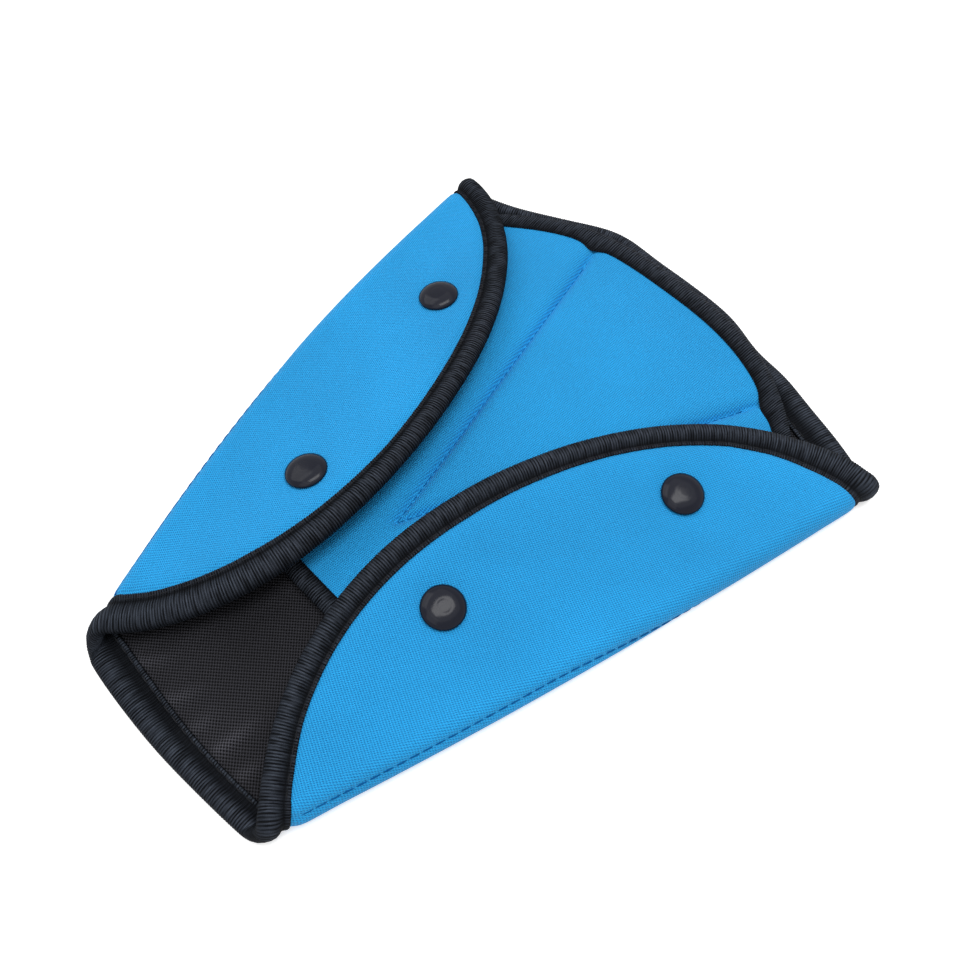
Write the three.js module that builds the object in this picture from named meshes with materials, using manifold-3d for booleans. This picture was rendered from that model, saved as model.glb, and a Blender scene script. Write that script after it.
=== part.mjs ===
// A seat belt shoulder pad: a padded cover folded over on both sides, with an inner pad.
// Millimetres. X runs across, +Y from the narrow end to the wide end, +Z up from the table.
import * as THREE from 'three';
import { mergeVertices } from 'three/addons/utils/BufferGeometryUtils.js';
import Module from 'manifold-3d';

const wasm = await Module();
wasm.setup();

// Outline of the folded cover, seen from above
const narrowHalf = 43.4; // half width over the folds at the narrow end
const wideHalf = 102; // half width over the folds at the wide end
const narrowY = -123.3; // where the folds stop at the narrow end
const wideY = 103.8; // where the folds stop at the wide end
const foldBow = 6.6; // how far each fold bows outwards at mid length
const narrowBow = 3.2; // how far the narrow edge bows out at its middle
const wideBow = 22.7; // how far the wide edge bows out at its middle
const narrowCornerRise = 7; // how far the narrow edge turns back as it climbs round a fold
const wideCornerRise = 2; // the same at the wide end
const cornerPower = 1.5;

// Free edge of each flap: one curve between the corners, pulled inwards from each of them
const narrowPull = { x: -71.8, y: 70.3 };
const widePull = { x: -57.1, y: -4.7 };

// Layers and folds
const foldInside = 3; // inner radius of the folds
const coverThickness = 2; // foam with its knitted face
const liningThickness = 0.7;
const layerGap = 0.3; // clearance between pieces that touch
const flapLift = 10.5; // how far the free edge stands above the fold at mid length
const flapLiftY = -9.4; // where the flap stands highest
const flapLiftSpan = 104.4; // distance from there to where the lift ends

// Edge tape of the cover
const tapeWidth = 9; // how far each leg reaches in from the edge
const tapeThickness = 0.9;
const tapeRoll = 1.3; // how far the tape stands out beyond the edge
const tapeSunk = 0.05; // how far the outer leg lies below the blue face
const tapeBend = 0.4; // rounding of the tape's edge, inwards
const tapeShoulder = 0.6; // rounding of the tape's edge, in height
const tapeClearance = 0.45; // between the tape's inner leg and the lining
const tapeEdgeClearance = 0.7; // between the sheet's edge and the tape's turn
const tapeSideGap = 0.4; // from the tape's leg to the side of the cut it lies in
const seatHeight = 3; // how far the cut for the outer leg reaches above the blue face
const tapeStation = 11; // spacing of its sections

// Inner pad
const padNarrowY = narrowY + 60.8;
const padWideY = wideY + 16.7;
const padNarrowBow = 1.5;
const padWideDrop = 21.5; // how far the wide edge falls back at padWideDropX
const padWideDropX = 64;
const padWideDropPower = 2.3;
const padSideGap = 1; // from the pad's side to where the fold starts
const padNarrowSideY = narrowY + 62.3;
const padWideSideY = wideY - 29.8;
const padSideThickness = 1.5;
const padSidePower = 5; // how suddenly the pad thins towards its sides
const padEndThickness = 2;
const padWingThickness = 3.8;
const padMiddleThickness = 5.6;
const padNarrowLift = 1.3; // the bound ends lie on their own tape
const padWideLift = 2.5; // the wide end lies on the cover's tape too
const padWideLiftX = 48;
const padWideLiftFade = 18;
const padTapeWidth = 7;
const tapeRelief = 0.1; // the pad's tape is this much thinner where it lies on the lining

// Quilting seams of the pad: a V with its point towards the narrow end
const seamApex = { x: -2.7, y: -23.6 };
const seamLeftEnd = { x: -36.1, y: 110.1 };
const seamRightEnd = { x: 53.8, y: 100.1 };
const seamOvershoot = 5;
const seamWidth = 5;
const seamDepth = 2.2;
const seamReach = 4; // how far the pressing wedge stands above the pad

// Snap fasteners
const snapWide = { x: 60, y: 49.6 };
const snapNarrow = { x: 34.1, y: -35.6 };
const capRadius = 7.5;
const capHeight = 2.3;
const capEdge = 0.5;
const stemRadius = 1.6;
const stemClearance = 0.5;
const stemHold = 0.9; // how far the stem reaches into the socket
const socketRadius = 5.2;
const socketHeight = 1.9;
const socketBore = 3;
const socketWeb = 1.3; // wall between the socket's two bores
const socketTaper = 0.9;
const studRadius = 5;
const studFlange = 0.6;
const studHead = 2.2;
const studHeadHeight = 1.7;
const studEdge = 0.4;
const studClearance = 0.5; // between the stud's head and the socket's web
const studBore = 1.1;
const postRadius = 5;
const postFlange = 0.8;
const snapSides = 18;
const hiddenSides = 12;
const drillOver = 6; // how far a drill for a snap stands out of what it cuts

const totalThickness = coverThickness + layerGap + liningThickness;
const foldRadius = totalThickness + foldInside;
const middleRadius = foldRadius - totalThickness / 2;
const foldLength = Math.PI * middleRadius;
const up = new THREE.Vector3(0, 0, 1);

const clamp01 = (t) => Math.min(1, Math.max(0, t));
const smooth = (t) => clamp01(t) ** 2 * (3 - 2 * clamp01(t));
const lerp = (a, b, t) => a + (b - a) * t;

// Half width of the cover over its folds at station y
function foldHalf(y) {
  const t = (y - narrowY) / (wideY - narrowY);
  return lerp(narrowHalf, wideHalf, t) + foldBow * 4 * t * (1 - t);
}

const baseHalf = (y) => foldHalf(y) - foldRadius;

// The flap's free edge in plan, from its narrow corner to its wide corner
const flapNarrowY = narrowY + narrowCornerRise;
const flapWideY = wideY - wideCornerRise;
const narrowCorner = new THREE.Vector2(baseHalf(flapNarrowY), flapNarrowY);
const wideCorner = new THREE.Vector2(baseHalf(flapWideY), flapWideY);
const freeEdge = new THREE.CubicBezierCurve(
  narrowCorner,
  narrowCorner.clone().add(narrowPull),
  wideCorner.clone().add(widePull),
  wideCorner,
);

// Where the free edge crosses station y
function freeEdgeX(y) {
  let low = 0;
  let high = 1;
  for (let i = 0; i < 40; i += 1) {
    const mid = (low + high) / 2;
    if (freeEdge.getPoint(mid).y < y) low = mid;
    else high = mid;
  }
  return freeEdge.getPoint(low).x;
}

const flapLength = (y) => Math.max(foldRadius, baseHalf(y) - freeEdgeX(y));
const liftAt = (y) => flapLift * Math.max(0, 1 - ((y - flapLiftY) / flapLiftSpan) ** 2);
const liftShape = (t) => 1.9 * t ** 2 - 0.9 * t ** 3;
const liftSlope = (t) => 3.8 * t - 2.7 * t ** 2;

// A point of the folded sheet: a is the distance along the section from the centre line,
// n is the height above the blue face, negative towards the lining
function sheetPoint(a, y, n) {
  const side = Math.sign(a);
  const along = Math.abs(a);
  const base = baseHalf(y);
  if (along <= base) return new THREE.Vector3(a, y, -n);
  const turn = along - base;
  if (turn <= foldLength) {
    const angle = turn / middleRadius;
    const x = base + (foldRadius + n) * Math.sin(angle);
    return new THREE.Vector3(side * x, y, foldRadius - (foldRadius + n) * Math.cos(angle));
  }
  const out = turn - foldLength;
  const length = flapLength(y);
  const rise = liftAt(y) * liftShape(out / length);
  const slope = liftAt(y) * liftSlope(out / length) / length;
  const tilt = Math.hypot(1, slope);
  const x = base - out + n * slope / tilt;
  return new THREE.Vector3(side * x, y, 2 * foldRadius + rise + n / tilt);
}

// Outer normal of the folded sheet
function sheetNormal(a, y) {
  return sheetPoint(a, y, 0).sub(sheetPoint(a, y, -1)).normalize();
}

// How far the end edges lie beyond the flap's own ends, at a share of the base or of the fold
function narrowEdgeOffset(zone, share) {
  if (zone === 'base') return -narrowCornerRise - narrowBow * (1 - share ** 2);
  return zone === 'fold' ? -narrowCornerRise * (1 - share ** cornerPower) : 0;
}

function wideEdgeOffset(zone, share) {
  const bow = Math.max(0, Math.cos(Math.PI / 2 * share));
  if (zone === 'base') return wideCornerRise + wideBow * bow;
  return zone === 'fold' ? wideCornerRise * (1 - share ** cornerPower) : 0;
}

// Rows of the sheet follow the free edge; near the ends they bend into the end edges
const rowCount = 18;
const endReach = 60; // how far the bend of the end edges is felt
const edgeParameter = (row) => (1 - Math.cos(Math.PI * row / rowCount)) / 2;

function rowPoint(row, zone, share) {
  const edge = freeEdge.getPoint(edgeParameter(row));
  const nearNarrow = smooth(1 - (edge.y - flapNarrowY) / endReach);
  const nearWide = smooth(1 - (flapWideY - edge.y) / endReach);
  const y = edge.y + nearNarrow * narrowEdgeOffset(zone, share) + nearWide * wideEdgeOffset(zone, share);
  const base = baseHalf(y);
  if (zone === 'base') return { a: base * share, y };
  if (zone === 'fold') return { a: base + foldLength * share, y };
  return { a: base + foldLength + (base - edge.x) * share, y };
}

// The columns of one side, from the centre line to the free edge
const foldSteps = 6;
const columns = [
  ...[0, 0.3, 0.55, 0.8].map((share) => ['base', share]),
  ...[0, 1, 2, 3, 4, 5].map((step) => ['fold', step / foldSteps]),
  ...[0, 0.3, 0.55, 0.78, 1].map((share) => ['flap', share]),
];

// Builds a closed body from two matching grids of points
function bodyBetween(outer, inner) {
  const rows = outer.length;
  const cols = outer[0].length;
  const positions = [];
  [outer, inner].forEach((grid) => grid.forEach((line) => line.forEach((p) => positions.push(...p))));
  const index = [];
  const at = (layer, i, j) => layer * rows * cols + i * cols + j;
  const quad = (p, q, r, s) => index.push(p, q, r, p, r, s);
  for (let i = 0; i + 1 < rows; i += 1) {
    for (let j = 0; j + 1 < cols; j += 1) {
      quad(at(0, i, j), at(0, i, j + 1), at(0, i + 1, j + 1), at(0, i + 1, j));
      quad(at(1, i, j), at(1, i + 1, j), at(1, i + 1, j + 1), at(1, i, j + 1));
    }
    quad(at(0, i, 0), at(0, i + 1, 0), at(1, i + 1, 0), at(1, i, 0));
    quad(at(0, i + 1, cols - 1), at(0, i, cols - 1), at(1, i, cols - 1), at(1, i + 1, cols - 1));
  }
  for (let j = 0; j + 1 < cols; j += 1) {
    quad(at(0, 0, j + 1), at(0, 0, j), at(1, 0, j), at(1, 0, j + 1));
    quad(at(0, rows - 1, j), at(0, rows - 1, j + 1), at(1, rows - 1, j + 1), at(1, rows - 1, j));
  }
  return closedGeometry(positions, index);
}

// Merges shared corners, drops faces that have shrunk to a line and faces the body outwards
function closedGeometry(positions, index) {
  let geometry = new THREE.BufferGeometry();
  geometry.setAttribute('position', new THREE.Float32BufferAttribute(positions, 3));
  geometry.setIndex(index);
  geometry = mergeVertices(geometry, 1e-4);
  const kept = [];
  for (let i = 0; i < geometry.index.count; i += 3) {
    const face = [0, 1, 2].map((k) => geometry.index.getX(i + k));
    if (new Set(face).size === 3) kept.push(face);
  }
  const corner = (k) => new THREE.Vector3().fromBufferAttribute(geometry.attributes.position, k);
  const volume = kept.reduce((sum, [p, q, r]) => sum + corner(p).dot(corner(q).cross(corner(r))), 0);
  geometry.setIndex(kept.flatMap(([p, q, r]) => (volume < 0 ? [p, r, q] : [p, q, r])));
  return geometry;
}

function solidOf(geometry) {
  const bare = geometry.clone();
  bare.deleteAttribute('normal');
  bare.deleteAttribute('uv');
  const merged = mergeVertices(bare, 1e-4);
  return new wasm.Manifold(new wasm.Mesh({
    numProp: 3,
    vertProperties: new Float32Array(merged.attributes.position.array),
    triVerts: new Uint32Array(merged.index.array),
  }));
}

function geometryOf(solid) {
  const mesh = solid.getMesh();
  const geometry = new THREE.BufferGeometry();
  geometry.setAttribute('position', new THREE.BufferAttribute(mesh.vertProperties, 3));
  geometry.setIndex(new THREE.BufferAttribute(mesh.triVerts, 1));
  return geometry;
}

// Cuts each tool out of the geometry
function cut(geometry, tools) {
  const solid = tools.reduce((left, tool) => left.subtract(solidOf(tool)), solidOf(geometry));
  return geometryOf(solid);
}

// One layer of the folded cover between two heights
function sheetLayer(top, bottom) {
  const grid = (n) => {
    const lines = [];
    for (let row = 0; row <= rowCount; row += 1) {
      const right = columns.map(([zone, share]) => rowPoint(row, zone, share));
      const left = right.slice(1).reverse().map(({ a, y }) => ({ a: -a, y }));
      lines.push([...left, ...right].map(({ a, y }) => sheetPoint(a, y, n)));
    }
    return lines;
  };
  return bodyBetween(grid(top), grid(bottom));
}

// The edge of the cover as stations on the sheet, once round
const narrowSteps = 6;
const wideSteps = 12;

function edgeStations() {
  const run = (row, zone, steps) => {
    const shares = Array.from({ length: steps + 1 }, (_, k) => k / steps);
    return shares.map((share) => rowPoint(row, zone, share));
  };
  const flapSteps = Math.round(freeEdge.getLength() / tapeStation);
  const flap = Array.from({ length: flapSteps - 1 }, (_, k) => {
    const edge = freeEdge.getPointAt((k + 1) / flapSteps);
    return { a: 2 * baseHalf(edge.y) + foldLength - edge.x, y: edge.y };
  });
  const right = [
    ...run(0, 'base', narrowSteps),
    ...run(0, 'fold', foldSteps).slice(1),
    ...flap,
    ...run(rowCount, 'fold', foldSteps).slice(1).reverse(),
    ...run(rowCount, 'base', wideSteps).reverse(),
  ];
  const left = right.slice(1, -1).reverse().map(({ a, y }) => ({ a: -a, y }));
  return [...right, ...left];
}

// Change of a and y that moves each station one millimetre inward along the sheet
function inwardSteps(stations) {
  const count = stations.length;
  const small = 0.05;
  const change = (from, to) => sheetPoint(to.a, to.y, 0).sub(sheetPoint(from.a, from.y, 0));
  const steps = stations.map(({ a, y }, k) => {
    const along = change(stations[(k + count - 1) % count], stations[(k + 1) % count]).normalize();
    const inward = new THREE.Vector3().crossVectors(sheetNormal(a, y), along);
    const byA = change({ a: a - small, y }, { a: a + small, y }).divideScalar(2 * small);
    const byY = change({ a, y: y - small }, { a, y: y + small }).divideScalar(2 * small);
    const aa = byA.dot(byA);
    const ab = byA.dot(byY);
    const bb = byY.dot(byY);
    const det = aa * bb - ab * ab;
    const towardsA = inward.dot(byA);
    const towardsY = inward.dot(byY);
    return { da: (towardsA * bb - towardsY * ab) / det, dy: (towardsY * aa - towardsA * ab) / det };
  });
  const side = Math.sign(steps[0].dy);
  return steps.map(({ da, dy }) => ({ da: side * da, dy: side * dy }));
}

function smoothSteps(steps, passes) {
  let result = steps;
  for (let pass = 0; pass < passes; pass += 1) {
    result = result.map((step, k) => {
      const before = result[(k + result.length - 1) % result.length];
      const after = result[(k + 1) % result.length];
      const mix = (name) => (before[name] + 2 * step[name] + after[name]) / 4;
      return { da: mix('da'), dy: mix('dy') };
    });
  }
  return result;
}

// Sweeps a closed section round the cover's edge; t is inward from the edge, n is height
function sweepRound(section) {
  const stations = edgeStations();
  const steps = smoothSteps(inwardSteps(stations), 2);
  const rings = stations.map(({ a, y }, k) => section.map(([t, n]) => {
    const { da, dy } = steps[k];
    return sheetPoint(a + t * da, y + t * dy, n);
  }));
  const positions = rings.flat().flatMap((p) => [...p]);
  const index = [];
  const count = section.length;
  rings.forEach((_, i) => {
    const next = (i + 1) % rings.length;
    for (let j = 0; j < count; j += 1) {
      const k = (j + 1) % count;
      index.push(i * count + j, i * count + k, next * count + k);
      index.push(i * count + j, next * count + k, next * count + j);
    }
  });
  return closedGeometry(positions, index);
}

const tapeInner = totalThickness + tapeClearance;
const tapeMiddle = tapeWidth / 2;
const tapeSection = [
  [tapeWidth, -tapeSunk],
  [tapeMiddle, -tapeSunk],
  [tapeBend, -tapeSunk],
  [-tapeRoll + tapeBend, -tapeShoulder],
  [-tapeRoll, -totalThickness / 2],
  [-tapeRoll + tapeBend, -tapeInner - tapeThickness + tapeShoulder],
  [tapeBend, -tapeInner - tapeThickness],
  [tapeMiddle, -tapeInner - tapeThickness],
  [tapeWidth, -tapeInner - tapeThickness],
  [tapeWidth, -tapeInner],
  [tapeMiddle, -tapeInner],
  [-tapeEdgeClearance, -tapeInner],
  [-tapeEdgeClearance, -tapeThickness - tapeSunk],
  [tapeMiddle, -tapeThickness - tapeSunk],
  [tapeWidth, -tapeThickness - tapeSunk],
];
const seatDepth = tapeSunk + tapeThickness + layerGap;
const tapeSeat = [
  [-tapeRoll, seatHeight],
  [-tapeRoll, -seatDepth],
  [tapeMiddle, -seatDepth],
  [tapeWidth + tapeSideGap, -seatDepth],
  [tapeWidth + tapeSideGap, seatHeight],
  [tapeMiddle, seatHeight],
];

// Snap positions: right and left, wide pair and narrow pair
const snaps = [
  { x: -snapWide.x, y: snapWide.y },
  { x: snapWide.x, y: snapWide.y },
  { x: -snapNarrow.x, y: snapNarrow.y },
  { x: snapNarrow.x, y: snapNarrow.y },
];

// The point of a flap's blue face over a place in plan
function flapPoint(x, y) {
  const along = 2 * baseHalf(y) + foldLength - Math.abs(x);
  return sheetPoint(Math.sign(x) * along, y, 0);
}

// Where a snap stands on its flap, and which way it points
function snapSeat({ x, y }) {
  const step = 0.5;
  const alongX = flapPoint(x + step, y).sub(flapPoint(x - step, y));
  const alongY = flapPoint(x, y + step).sub(flapPoint(x, y - step));
  const axis = new THREE.Vector3().crossVectors(alongX, alongY).normalize();
  return { point: flapPoint(x, y), axis };
}

// A turned piece about +Z from a closed profile of [radius, height] corners
function turned(profile, sides = hiddenSides) {
  const corners = [...profile, profile[0]].map(([r, z]) => new THREE.Vector2(r, z));
  const lathe = new THREE.LatheGeometry(corners, sides);
  lathe.rotateX(Math.PI / 2);
  return closedGeometry([...lathe.attributes.position.array], [...lathe.index.array]);
}

const placedOn = (geometry, point, axis) => {
  const turn = new THREE.Quaternion().setFromUnitVectors(up, axis);
  return geometry.clone().applyQuaternion(turn).translate(...point);
};

// The cap's stem goes through the flap into the socket; heights count from the blue face
const stemLength = totalThickness + 2 * layerGap;
const socketSeat = -stemLength - socketWeb;
const capGeometry = () => turned([
  [0, -stemLength - stemHold],
  [stemRadius, -stemLength - stemHold],
  [stemRadius, layerGap],
  [capRadius - capEdge, layerGap],
  [capRadius, layerGap + capEdge],
  [capRadius - 1.4 * capEdge, layerGap + capHeight * 0.62],
  [capRadius * 0.55, layerGap + capHeight * 0.94],
  [0, layerGap + capHeight],
], snapSides);
const socketGeometry = () => turned([
  [stemRadius + layerGap, -stemLength],
  [socketRadius, -stemLength],
  [socketRadius, -stemLength - socketTaper],
  [socketRadius - socketTaper, -stemLength - socketHeight],
  [socketBore, -stemLength - socketHeight],
  [socketBore, socketSeat],
  [stemRadius + layerGap, socketSeat],
]);
const studGeometry = (height) => turned([
  [studBore, 0],
  [studRadius, 0],
  [studRadius - studEdge, studFlange],
  [studHead - studEdge, studFlange],
  [studHead, studFlange + height * 0.6],
  [studHead - studEdge, studFlange + height],
  [studBore, studFlange + height],
]);
const postGeometry = (length) => turned([
  [0, 0],
  [postRadius, 0],
  [postRadius, postFlange],
  [studBore - layerGap, postFlange],
  [studBore - layerGap, length],
  [0, length],
]);
const cylinder = (radius, low, high) => turned([[0, low], [radius, low], [radius, high], [0, high]]);

// The pad in plan: u runs across from -1 to 1, v from the narrow end to the wide end
const padNarrowEdge = (x) => padNarrowY - padNarrowBow * (1 - (x / baseHalf(padNarrowY)) ** 2);
const padWideEdge = (x) => padWideY - padWideDrop * (Math.abs(x) / padWideDropX) ** padWideDropPower;
const padBound = 0.07; // share of the length that the end tapes cover
const padFree = 0.12; // share at which the pad lies flat again
const padMiddleRows = [0.28, 0.45, 0.62, 0.78];
const padEndRows = [0, padBound / 2, padBound, padFree];
const padRows = [...padEndRows, ...padMiddleRows, ...padEndRows.map((v) => 1 - v).reverse()];
const padShares = [0, 0.18, 0.35, 0.52, 0.68, 0.82, 0.93, 1];
const padAcross = [...padShares.slice(1).reverse().map((u) => -u), ...padShares];

function padPlan(u, v) {
  const half = baseHalf(lerp(padNarrowSideY, padWideSideY, v)) - padSideGap;
  const x = u * half;
  return { x, y: lerp(padNarrowEdge(x), padWideEdge(x), v) };
}

function wideLift(x) {
  const fade = clamp01((Math.abs(x) - padWideLiftX) / padWideLiftFade);
  return lerp(padWideLift, padNarrowLift, fade);
}

function padHeights(u, v) {
  const ease = (share) => clamp01((padFree - share) / (padFree - padBound));
  const nearNarrow = ease(v);
  const nearWide = ease(1 - v);
  const rest = totalThickness + layerGap;
  const bottom = rest + padNarrowLift * nearNarrow + wideLift(padPlan(u, v).x) * nearWide;
  const puff = smooth((v - 0.2) / 0.4) * (1 - Math.abs(u));
  const crown = lerp(padWingThickness, padMiddleThickness, puff);
  const middle = lerp(crown, padEndThickness, Math.max(nearNarrow, nearWide));
  return { bottom, top: bottom + lerp(middle, padSideThickness, Math.abs(u) ** padSidePower) };
}

function padGrid(level) {
  return padRows.map((v) => padAcross.map((u) => {
    const { x, y } = padPlan(u, v);
    return new THREE.Vector3(x, y, padHeights(u, v)[level]);
  }));
}

// A wedge that presses one straight quilting seam into the pad
function seamWedge(from, to) {
  const along = new THREE.Vector3(to.x - from.x, to.y - from.y, 0).normalize();
  const across = new THREE.Vector3(-along.y, along.x, 0);
  const top = totalThickness + layerGap + padMiddleThickness;
  const floor = top - seamDepth;
  const section = (point, distance) => {
    const middle = new THREE.Vector3(point.x, point.y, 0).addScaledVector(along, distance);
    const spread = seamWidth / 2 * (1 + seamReach / seamDepth);
    return [
      middle.clone().addScaledVector(across, -spread).setZ(top + seamReach),
      middle.clone().setZ(floor),
      middle.clone().addScaledVector(across, spread).setZ(top + seamReach),
    ];
  };
  const ends = [...section(from, -seamOvershoot), ...section(to, 0)];
  return closedGeometry(
    ends.flatMap((p) => [...p]),
    [0, 1, 2, 3, 5, 4, 0, 3, 4, 0, 4, 1, 1, 4, 5, 1, 5, 2, 2, 5, 3, 2, 3, 0],
  );
}

// Tape over one end of the pad, made at the pad's own columns
function padTape(v, inwardV) {
  const reach = layerGap + tapeThickness;
  const rings = padAcross.slice(1, -1).map((u) => {
    const edge = padPlan(u, v);
    const inner = padPlan(u, inwardV);
    const inward = new THREE.Vector3(inner.x - edge.x, inner.y - edge.y, 0).normalize();
    const { top, bottom } = padHeights(u, v);
    const point = (t, z) => new THREE.Vector3(edge.x, edge.y, z).addScaledVector(inward, t);
    return [
      point(padTapeWidth, top + reach),
      point(tapeBend, top + reach),
      point(-tapeRoll, (top + bottom) / 2 + tapeThickness),
      point(-tapeRoll, (top + bottom) / 2 - tapeThickness),
      point(tapeBend, bottom - reach + tapeRelief),
      point(padTapeWidth, bottom - reach + tapeRelief),
      point(padTapeWidth, bottom - layerGap),
      point(-layerGap, bottom - layerGap),
      point(-layerGap, top + layerGap),
      point(padTapeWidth, top + layerGap),
    ];
  });
  const count = rings[0].length;
  const positions = rings.flat().flatMap((p) => [...p]);
  const index = [];
  for (let i = 0; i + 1 < rings.length; i += 1) {
    for (let j = 0; j < count; j += 1) {
      const k = (j + 1) % count;
      index.push(i * count + j, i * count + k, (i + 1) * count + k);
      index.push(i * count + j, (i + 1) * count + k, (i + 1) * count + j);
    }
  }
  const lastRing = (rings.length - 1) * count;
  const endFaces = [[0, 1, 9], [1, 8, 9], [1, 2, 8], [2, 3, 8], [3, 7, 8], [3, 4, 7], [4, 5, 7], [5, 6, 7]];
  endFaces.forEach(([p, q, r]) => {
    index.push(p, r, q);
    index.push(lastRing + p, lastRing + q, lastRing + r);
  });
  return closedGeometry(positions, index);
}

// Heights of the pad's faces at a point in plan
function padAt({ x, y }) {
  const v = clamp01((y - padNarrowEdge(x)) / (padWideEdge(x) - padNarrowEdge(x)));
  return padHeights(x / padPlan(1, v).x, v);
}

const finishes = {
  blue: { color: 0x1f93dc, roughness: 0.75, metalness: 0 },
  weave: { color: 0x1b1c20, roughness: 0.85, metalness: 0 },
  tape: { color: 0x17181b, roughness: 0.8, metalness: 0 },
  snap: { color: 0x0b0b0d, roughness: 0.25, metalness: 0 },
};

const shoulderPad = new THREE.Group();

function addPiece(name, geometry, finish) {
  const piece = new THREE.Mesh(geometry, new THREE.MeshStandardMaterial(finishes[finish]));
  piece.name = name;
  geometry.computeVertexNormals();
  shoulderPad.add(piece);
}

const flapHoles = snaps.map((snap) => {
  const { point, axis } = snapSeat(snap);
  return placedOn(cylinder(stemRadius + stemClearance, -totalThickness - drillOver, drillOver), point, axis);
});
const coverBody = sheetLayer(0, -coverThickness);
addPiece('cover', cut(coverBody, [sweepRound(tapeSeat), ...flapHoles]), 'blue');
addPiece('lining', cut(sheetLayer(-coverThickness - layerGap, -totalThickness), flapHoles), 'weave');
addPiece('edge_binding', sweepRound(tapeSection), 'tape');

const padHoles = snaps.flatMap((snap) => {
  const { bottom } = padAt(snap);
  const centre = [snap.x, snap.y, bottom];
  const reach = totalThickness + padMiddleThickness + drillOver;
  return [
    cylinder(studBore + layerGap, -1, reach).translate(...centre),
    cylinder(postRadius + layerGap, -1, postFlange + layerGap).translate(...centre),
  ];
});
const padBody = bodyBetween(padGrid('top'), padGrid('bottom'));
const padSeams = [seamWedge(seamApex, seamLeftEnd), seamWedge(seamApex, seamRightEnd)];
addPiece('pad', cut(padBody, [...padSeams, ...padHoles]), 'blue');
addPiece('pad_binding_wide', padTape(1, 1 - padBound), 'tape');
addPiece('pad_binding_narrow', padTape(0, padBound), 'tape');

snaps.forEach((snap, k) => {
  const { point, axis } = snapSeat(snap);
  const { bottom, top } = padAt(snap);
  const studZ = top + layerGap;
  addPiece(`snap_cap_${k + 1}`, placedOn(capGeometry(), point, axis), 'snap');
  addPiece(`snap_socket_${k + 1}`, placedOn(socketGeometry(), point, axis), 'snap');
  const room = point.z + socketSeat - layerGap - studClearance - studZ - studFlange;
  const height = Math.min(studHeadHeight, room);
  addPiece(`snap_stud_${k + 1}`, studGeometry(height).translate(snap.x, snap.y, studZ), 'snap');
  const postLength = studZ + studFlange - bottom;
  addPiece(`snap_post_${k + 1}`, postGeometry(postLength).translate(snap.x, snap.y, bottom), 'snap');
});

export default shoulderPad;
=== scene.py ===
# %% [markdown]
# A seat belt shoulder pad in Blender. The real object is a foam sheet with a blue knit face and a
# black woven lining, bound with ribbed elastic tape. Its two sides fold over a quilted inner pad and
# are snapped down, so that the belts run under them. The frame holds the measured solids, and this
# file dresses them: every soft piece is made again at cloth scale, in the place of its solid.

import math

import bmesh
import bpy
import numpy as np
from mathutils import Matrix, Vector
from mathutils.bvhtree import BVHTree
from mathutils.kdtree import KDTree


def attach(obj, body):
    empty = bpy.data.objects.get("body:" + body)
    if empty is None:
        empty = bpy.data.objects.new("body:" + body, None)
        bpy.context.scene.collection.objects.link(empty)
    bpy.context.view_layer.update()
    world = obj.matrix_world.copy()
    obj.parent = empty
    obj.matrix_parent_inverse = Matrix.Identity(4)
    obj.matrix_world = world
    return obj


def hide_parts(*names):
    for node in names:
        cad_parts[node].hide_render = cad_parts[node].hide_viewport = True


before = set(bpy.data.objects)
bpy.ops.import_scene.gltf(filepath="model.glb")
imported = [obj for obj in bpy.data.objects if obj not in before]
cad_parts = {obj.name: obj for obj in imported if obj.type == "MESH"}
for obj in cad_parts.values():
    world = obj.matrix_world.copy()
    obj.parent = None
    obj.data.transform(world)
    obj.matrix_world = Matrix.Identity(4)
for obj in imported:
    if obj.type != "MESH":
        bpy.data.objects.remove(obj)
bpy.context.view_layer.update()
MM = 0.001
BODY = "root"

# %% [markdown]
# The camera stands where the photographer stood: high on the right of the narrow end, looking down
# at about 61 degrees. It is placed by its position and its two axes across the picture, because
# that says the small roll of the picture too.

# %% Camera
PICTURE_PIXELS = 976
FOCAL_PIXELS = 983.3
SENSOR = 36.0
camera_place = Vector((128.8, -104.6, 304.3)) * MM
camera_right = Vector((0.69948, 0.71458, -0.00995))
camera_up = Vector((-0.62364, 0.61714, 0.47980))

camera = bpy.data.objects.new("Camera", bpy.data.cameras.new("Camera"))
bpy.context.scene.collection.objects.link(camera)
camera.data.sensor_width = SENSOR
camera.data.lens = FOCAL_PIXELS / PICTURE_PIXELS * SENSOR
camera.data.clip_start = 0.01
axes = Matrix((camera_right, camera_up, camera_right.cross(camera_up))).transposed()
camera.matrix_world = Matrix.Translation(camera_place) @ axes.to_4x4()
bpy.context.scene.camera = camera
print("lens:", round(camera.data.lens, 2), "mm")

# %% [markdown]
# The cover is one flat cut, folded. So its shape is worked out as a map: a place on the flat sheet
# is given by its distance a from the centre line, measured over the cloth, and its station y, and
# the map says where that place lies once the sides are folded over. All lengths are millimetres.
# The same map then makes the blue face, the lining and the edge tape, so they always fit together.

# %% Outline of the folded cover
NARROW_HALF, WIDE_HALF = 43.6, 102.2
NARROW_Y, WIDE_Y = -123.3, 103.0
FOLD_BOW, NARROW_BOW, WIDE_BOW = 7.0, 3.2, 24.8
NARROW_RISE, WIDE_RISE, CORNER_POWER = 7.0, 2.0, 1.5
# Waves of the two ends, each with its middle, its height and how far it spreads
WIDE_WAVES = ((-80, -2.2, 17), (-38.5, 3.9, 16), (8, -0.6, 18), (35, -3.3, 13), (60, -1.7, 17))
NARROW_WAVES = ((-46, -2.1, 26), (20, 0.6, 20))
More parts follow.
